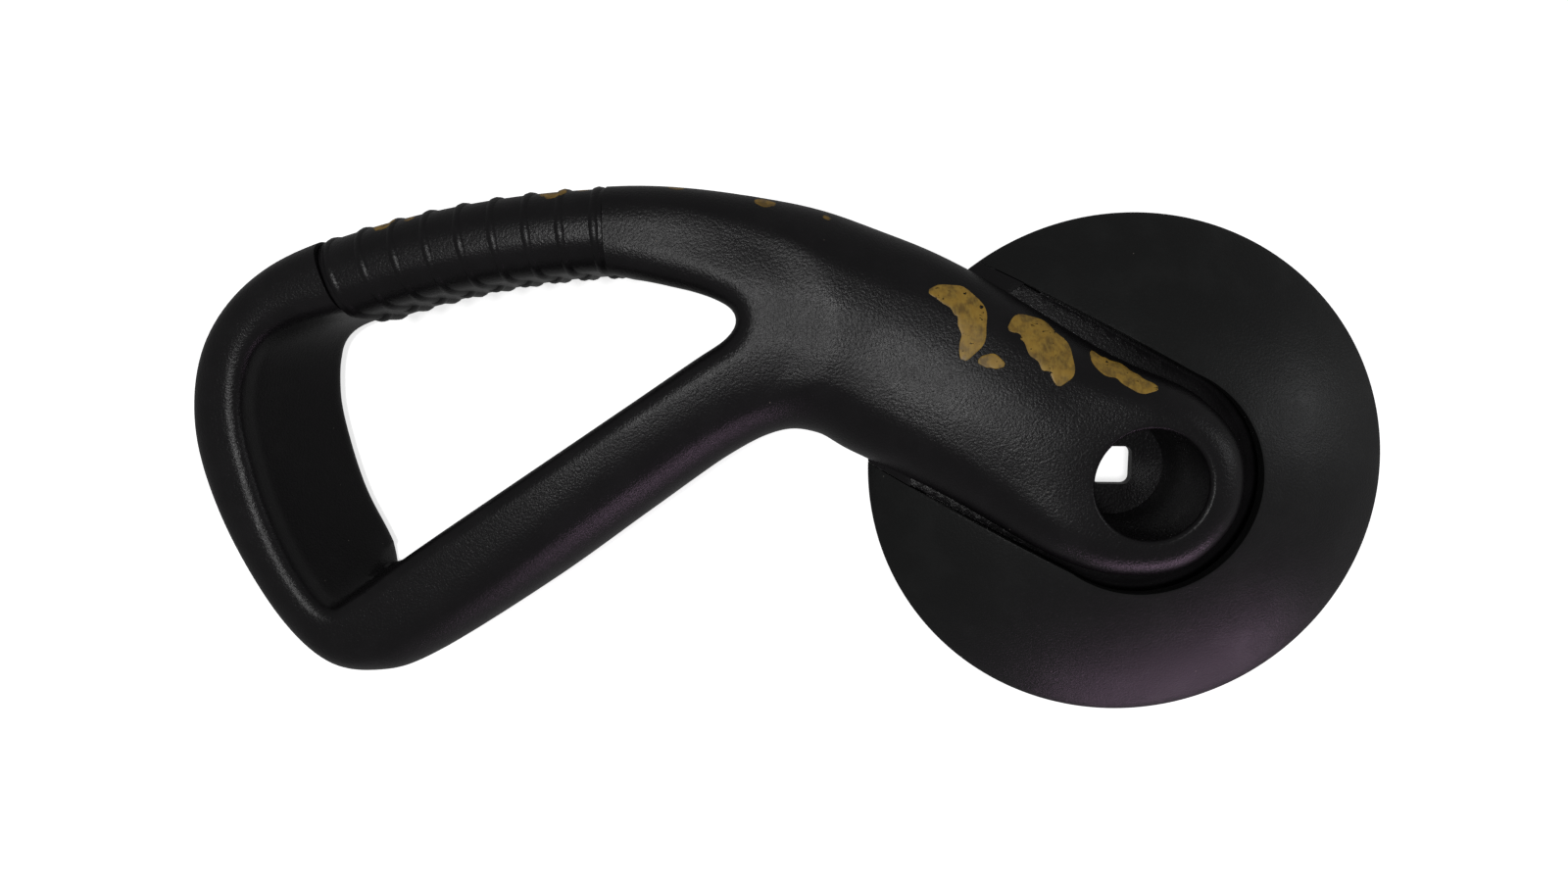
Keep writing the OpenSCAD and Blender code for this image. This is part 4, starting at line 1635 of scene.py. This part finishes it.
@dataclass
class Cam:
    """Toothed cam that turns with the handle."""

    low: float = 8.8
    top: float = 16.4
    hub: float = 27.0
    near: float = 34.0
    far: float = 44.8
    start: float = -52.0
    end: float = -90.0
    teeth: int = 10
    tooth: float = 1.4
    bore: float = 16.0
    lug: float = 35.0
    lug_angles: tuple[float, float] = (95.0, 107.0)
    dowel: float = 2.0
    dowel_ring: float = 19.2

    def spot(self, radius: float, angle: float) -> Point:
        """Place at a radius and an angle in degrees."""
        return circle((0, 0), radius, [math.radians(angle)])[0]

    def build(self) -> bpy.types.Object:
        """Builds the cam.

        Returns:
            The finished piece.
        """
        step = (self.end - self.start) / self.teeth
        edge = []
        for k in range(self.teeth):
            for share, drop in ((0.0, self.tooth), (0.8, 0.0)):
                angle = self.start + (k + share) * step
                out = self.near + (self.far - self.near) * (self.start - angle) / (self.start - self.end)
                edge.append(self.spot(out - drop, angle))
        blade = [(0.0, 0.0), self.spot(self.hub, -20)] + edge
        blade += [self.spot(self.far - 4, -95), self.spot(self.hub, -140)]
        plate = disc("cam_plate", (0, 0), self.hub, self.low, self.top, 144)
        combine(plate, prism("blade", blade, self.low, self.top), Join.ADD)
        lug = [(0.0, 0.0)] + [self.spot(self.lug, a) for a in np.linspace(*self.lug_angles, 5)]
        combine(plate, prism("lug", lug, self.low, self.top), Join.ADD)
        combine(plate, disc("hole", (0, 0), self.bore, 0, 30, 128), Join.CUT)
        for angle in (60, 180, 300):
            combine(plate, disc("dowel_hole", self.spot(self.dowel_ring, angle), self.dowel, 0, 30), Join.CUT)
        soften(plate, 0.22, 2, 30.0)
        smooth(plate)
        return finish(plate, CAM_STEEL, "lever", "cam")


@dataclass
class SidePlate:
    """Steel plate that swings aside to let the rope in."""

    thick: float = 2.6
    hole: float = 10.2
    pivot: Point = (46.0, -27.0)
    pin: float = 2.55
    sink: float = 4.8
    sink_deep: float = 1.2
    corners: tuple[Point, ...] = ((0, 0, 12), (46, -27, 7), (31, -42, 7), (-31, -42, 7), (-46, -30, 5))
    screw_profile: tuple[Point, ...] = (
        (0, 0.2), (4.1, 0.2), (4.45, 0.35), (4.6, 0.65), (4.6, 1.1), (2.5, 1.1), (2.5, 5.6), (2.1, 6.0),
        (0, 6.0))
    socket: float = 1.7
    socket_top: float = 0.95

    def outline(self) -> list[Point]:
        """Rounded outline that wraps the corners' circles."""
        dots = []
        for x, y, r in self.corners:
            dots += circle((x, y), r, np.linspace(0, 2 * math.pi, 97)[:-1])
        dots = sorted(set(dots))
        chains = []
        for order in (dots, dots[::-1]):
            chain: list[Point] = []
            for p in order:
                while len(chain) > 1 and self.bend(chain[-2], chain[-1], p) <= 0:
                    chain.pop()
                chain.append(p)
            chains += chain[:-1]
        return chains

    @staticmethod
    def bend(a: Point, b: Point, c: Point) -> float:
        """Twice the signed area of a triangle."""
        return (b[0] - a[0]) * (c[1] - a[1]) - (b[1] - a[1]) * (c[0] - a[0])

    def build(self) -> None:
        """Builds the plate and its pivot screw."""
        plate = prism("side_plate_sheet", self.outline(), 0.0, self.thick)
        combine(plate, disc("hole", (0, 0), self.hole, -2, 5, 96), Join.CUT)
        combine(plate, disc("pin_hole", self.pivot, self.pin, -2, 5), Join.CUT)
        combine(plate, disc("sink", self.pivot, self.sink, -2, self.sink_deep), Join.CUT)
        soften(plate, 0.35, 2, 50.0)
        finish(smooth(plate), PLATE_STEEL, "swing_plate", "side_plate")
        screw = put(lathe("plate_pivot_screw_body", self.screw_profile, 64), *self.pivot)
        six = circle(self.pivot, self.socket, [math.radians(60 * k) for k in range(6)])
        combine(screw, prism("socket", six, -1.0, self.socket_top), Join.CUT)
        finish(smooth(screw), SCREW_STEEL, "housing", "plate_pivot_screw")


@dataclass
class Rollers:
    """Pair of guide rollers that keep the rope off the cam's flank."""

    place: Point = (41.0, -29.5)
    low: float = 6.8
    radius: float = 4.5
    hole: float = 2.05
    high: float = 9.0
    rounding: tuple[Point, ...] = ((0.6, 0.0), (0.18, 0.18), (0.0, 0.6), (0.0, 2.6), (0.25, 2.9), (0.0, 3.2))

    def build(self) -> None:
        """Builds both rollers, each on its own body."""
        half = [(self.radius - inset, up) for inset, up in self.rounding]
        profile = [(self.hole, 0.0)] + half + [(r, self.high - up) for r, up in reversed(half)]
        profile += [(self.hole, self.high)]
        for side, name in ((-1, "left"), (1, "right")):
            roller = lathe(f"guide_roller_{name}_sleeve", [(a, b + self.low) for a, b in profile], 72)
            put(roller, side * self.place[0], self.place[1])
            finish(smooth(roller), ACETAL, f"{name}_roller", f"guide_roller_{name}")


@dataclass
class Spring:
    """Return spring: a clockwise coil with one leg at the housing's post and one at a dowel."""

    wire: float = 0.6
    radius: float = 24.3
    low: float = 17.3
    pitch: float = 1.4
    start: float = 84.5
    sweep: float = 513.5
    leg: float = 43.5
    inner_leg: float = 6.0

    def build(self) -> bpy.types.Object:
        """Builds the spring.

        Returns:
            The finished piece.
        """
        turns = self.sweep / 360
        recipe = Recipe("return_spring_wire", {
            "Steps": 180, "Turns": turns, "Radius": self.radius * MM, "Rise": self.pitch * turns * MM,
            "Low": self.low * MM, "Start": math.radians(self.start), "Sweep": math.radians(self.sweep),
            "Wire": self.wire * MM, "Leg": self.leg * MM, "Inner leg": self.inner_leg * MM})
        size = recipe.size
        line = recipe.node("GeometryNodeCurvePrimitiveLine", None, {"End": (1.0, 0.0, 0.0)})
        line = recipe.node("GeometryNodeResampleCurve", None, {"Curve": line, "Count": size("Steps")})
        share = recipe.node("GeometryNodeSplineParameter", None, None, "Factor")
        angle = recipe.maths("SUBTRACT", size("Start"), recipe.maths("MULTIPLY", share, size("Sweep")))
        where = recipe.vector(recipe.maths("MULTIPLY", size("Radius"), recipe.maths("COSINE", angle)),
                              recipe.maths("MULTIPLY", size("Radius"), recipe.maths("SINE", angle)),
                              recipe.maths("MULTIPLY", share, size("Rise")))
        coil = recipe.node("GeometryNodeSetPosition", None, {"Geometry": line, "Position": where})
        tip = self.toward(recipe, size("Start"), size("Leg"), True)
        root = self.toward(recipe, size("Start"), 0.0, True)
        outer = recipe.node("GeometryNodeCurvePrimitiveLine", None, {"Start": tip, "End": root})
        last = recipe.maths("SUBTRACT", size("Start"), size("Sweep"))
        inner = recipe.node("GeometryNodeCurvePrimitiveLine", None, {
            "Start": self.toward(recipe, last, 0.0, False),
            "End": self.toward(recipe, last, size("Inner leg"), False)})
        wires = recipe.node("GeometryNodeJoinGeometry", None, {"Geometry": [coil, outer, inner]})
        section = recipe.circle(16, size("Wire"))
        body = recipe.node("GeometryNodeCurveToMesh", None,
                           {"Curve": wires, "Profile Curve": section, "Fill Caps": True})
        body = recipe.move(body, Translation=recipe.vector(z=size("Low")))
        return finish(smooth(recipe.bake(body, SPRING_STEEL)), SPRING_STEEL, "housing", "return_spring")

    @staticmethod
    def toward(recipe: Recipe, angle: object, way: object, along: bool) -> bpy.types.NodeSocket:
        """Place of a leg's end.

        Args:
            recipe: the tree in progress.
            angle: the angle of the coil's point that the leg leaves.
            way: the leg's length.
            along: whether it runs along the coil, at its low end, or inwards, at its high end.

        Returns:
            The place's socket.
        """
        radius = recipe.size("Radius")
        c, s = recipe.maths("COSINE", angle), recipe.maths("SINE", angle)

        def times(first: object, second: object) -> bpy.types.NodeSocket:
            """Product of two values."""
            return recipe.maths("MULTIPLY", first, second)

        if along:
            x = recipe.maths("SUBTRACT", times(radius, c), times(way, s))
            y = recipe.maths("ADD", times(radius, s), times(way, c))
            return recipe.vector(x, y, 0.0)
        rest = recipe.maths("SUBTRACT", radius, way)
        return recipe.vector(times(rest, c), times(rest, s), recipe.size("Rise"))


@dataclass
class Rivets:
    """Two countersunk rivets that hold the channel's steel liner."""

    gap: float = 40.0
    wall: float = -47.3
    middle: float = 11.0
    head: float = 2.7
    shank: float = 1.5
    deep: float = 1.2
    length: float = 7.0

    def build(self) -> bpy.types.Object:
        """Builds the rivets.

        Returns:
            The finished piece.
        """
        recipe = Recipe("liner_rivet_pair", {
            "Count": 2, "Gap": self.gap * MM, "Wall": self.wall * MM, "Middle": self.middle * MM,
            "Head": self.head * MM, "Shank": self.shank * MM, "Deep": self.deep * MM,
            "Length": self.length * MM})
        size = recipe.size
        head = recipe.node("GeometryNodeMeshCone", None, {
            "Vertices": 48, "Radius Top": size("Shank"), "Radius Bottom": size("Head"),
            "Depth": size("Deep")}, "Mesh")
        shank = recipe.node("GeometryNodeMeshCylinder", None, {
            "Vertices": 48, "Radius": size("Shank"), "Depth": size("Length")}, "Mesh")
        half = recipe.maths("MULTIPLY", size("Length"), 0.5)
        shank = recipe.move(shank, Translation=recipe.vector(z=half))
        rivet = recipe.node("GeometryNodeJoinGeometry", None, {"Geometry": [head, shank]})
        rivet = recipe.move(rivet, Rotation=(math.pi / 2, 0.0, 0.0))
        first = recipe.vector(recipe.maths("MULTIPLY", size("Gap"), -0.5), size("Wall"), size("Middle"))
        dots = recipe.node("GeometryNodeMeshLine", None, {
            "Count": size("Count"), "Start Location": first, "Offset": recipe.vector(size("Gap"))})
        pair = recipe.node("GeometryNodeInstanceOnPoints", None, {"Points": dots, "Instance": rivet})
        return finish(smooth(recipe.bake(pair, PIN_STEEL)), PIN_STEEL, "housing", "liner_rivets")


# ----------------------------------------------------------------------------------------------------------
# Studio
# ----------------------------------------------------------------------------------------------------------


@dataclass
class Lamp:
    """One soft rectangular lamp, in metres."""

    name: str
    place: Point
    target: Point
    size: Point
    power: float
    colour: Colour = (1.0, 1.0, 1.0)


@dataclass
class Studio:
    """Camera, floor and lamps."""

    place: Point = (-0.07364, 0.03699, 0.25216)
    across: Point = (0.998554, 0.0, -0.053757)
    up: Point = (-0.006945, 0.991619, -0.129012)
    back: Point = (0.053307, 0.129199, 0.990185)
    lens: float = 20.72
    sensor: float = 36.0
    floor_size: float = 14.0
    lamps: tuple[Lamp, ...] = (
        Lamp("key_lamp", (-0.18, 0.045, 0.75), (-0.08, 0.02, 0.02), (0.11, 0.1), 1.7),
        Lamp("violet_lamp", (0.3, -0.62, 0.05), (-0.04, -0.02, 0.02), (0.62, 0.09), 1.25, (0.8, 0.52, 0.78)),
        Lamp("edge_lamp", (0.62, 0.1, 0.3), (0.02, 0.0, 0.02), (0.12, 0.26), 0.35, (0.97, 0.98, 1.0)))

    def build(self) -> None:
        """Builds the studio."""
        eye = bpy.data.objects.new("camera", bpy.data.cameras.new("camera"))
        eye.data.lens = self.lens
        eye.data.sensor_width = self.sensor
        eye.data.clip_start = 0.01
        turn = Matrix((self.across, self.up, self.back)).transposed()
        eye.matrix_world = Matrix.Translation(self.place) @ turn.to_4x4()
        bpy.context.scene.collection.objects.link(eye)
        bpy.context.scene.camera = eye
        half = self.floor_size / 2 / MM
        low = CAD_BOX[0].z / MM - 0.2
        floor = prism("floor", [(-half, -half), (half, -half), (half, half), (-half, half)], low - 10, low)
        floor.data.materials.append(Backdrop().material())
        floor.visible_diffuse = False
        floor.visible_glossy = False
        for lamp in self.lamps:
            self.hang(lamp)
        self.sky()

    @staticmethod
    def hang(lamp: Lamp) -> None:
        """Hangs one lamp.

        Args:
            lamp: the lamp.
        """
        light = bpy.data.lights.new(lamp.name, "AREA")
        light.shape = "RECTANGLE"
        light.size, light.size_y = lamp.size
        light.energy = lamp.power
        light.color = lamp.colour
        made = bpy.data.objects.new(lamp.name, light)
        way = Vector(lamp.place) - Vector(lamp.target)
        made.matrix_world = Matrix.Translation(lamp.place) @ way.to_track_quat("Z", "Y").to_matrix().to_4x4()
        bpy.context.scene.collection.objects.link(made)

    @staticmethod
    def sky() -> None:
        """Sets the even light from all round."""
        world = bpy.data.worlds.new("even_light")
        world.use_nodes = True
        back = world.node_tree.nodes["Background"]
        back.inputs["Color"].default_value = (1.0, 1.0, 1.0, 1.0)
        back.inputs["Strength"].default_value = 0.2
        bpy.context.scene.world = world
        bpy.context.scene.view_settings.view_transform = "Standard"


CARRIED = {
    "cover_screws": SCREW_STEEL, "cam_dowels": PIN_STEEL, "retaining_ring": SPRING_STEEL,
    "channel_liner": LINER_STEEL,
    "rear_bush": BUSH_BRONZE, "thrust_washer": ACETAL, "glide_ring": ACETAL, "stop_pins": PIN_STEEL,
    "roller_pins": PIN_STEEL, "roller_clips": SPRING_STEEL, "plate_washer": ACETAL}


def dress_carried() -> None:
    """Gives every CAD node that stays its own finish."""
    for node, look in CARRIED.items():
        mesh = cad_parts[node].data
        mesh.materials.clear()
        mesh.materials.append(material_of(look))
        LOG.info("%s: carried over", node)


def main() -> None:
    """Builds everything in order."""
    logging.basicConfig(level=logging.INFO, format="%(name)s %(message)s")
    Studio().build()
    dome = Dome()
    grip = Grip()
    handle = Handle(dome).build(grip)
    grip.build()
    Cover(dome).build()
    Housing().build()
    Cam().build()
    SidePlate().build()
    Rollers().build()
    Spring().build()
    Rivets().build()
    Marks().build(handle)
    dress_carried()


if __name__ == "__main__":
    main()
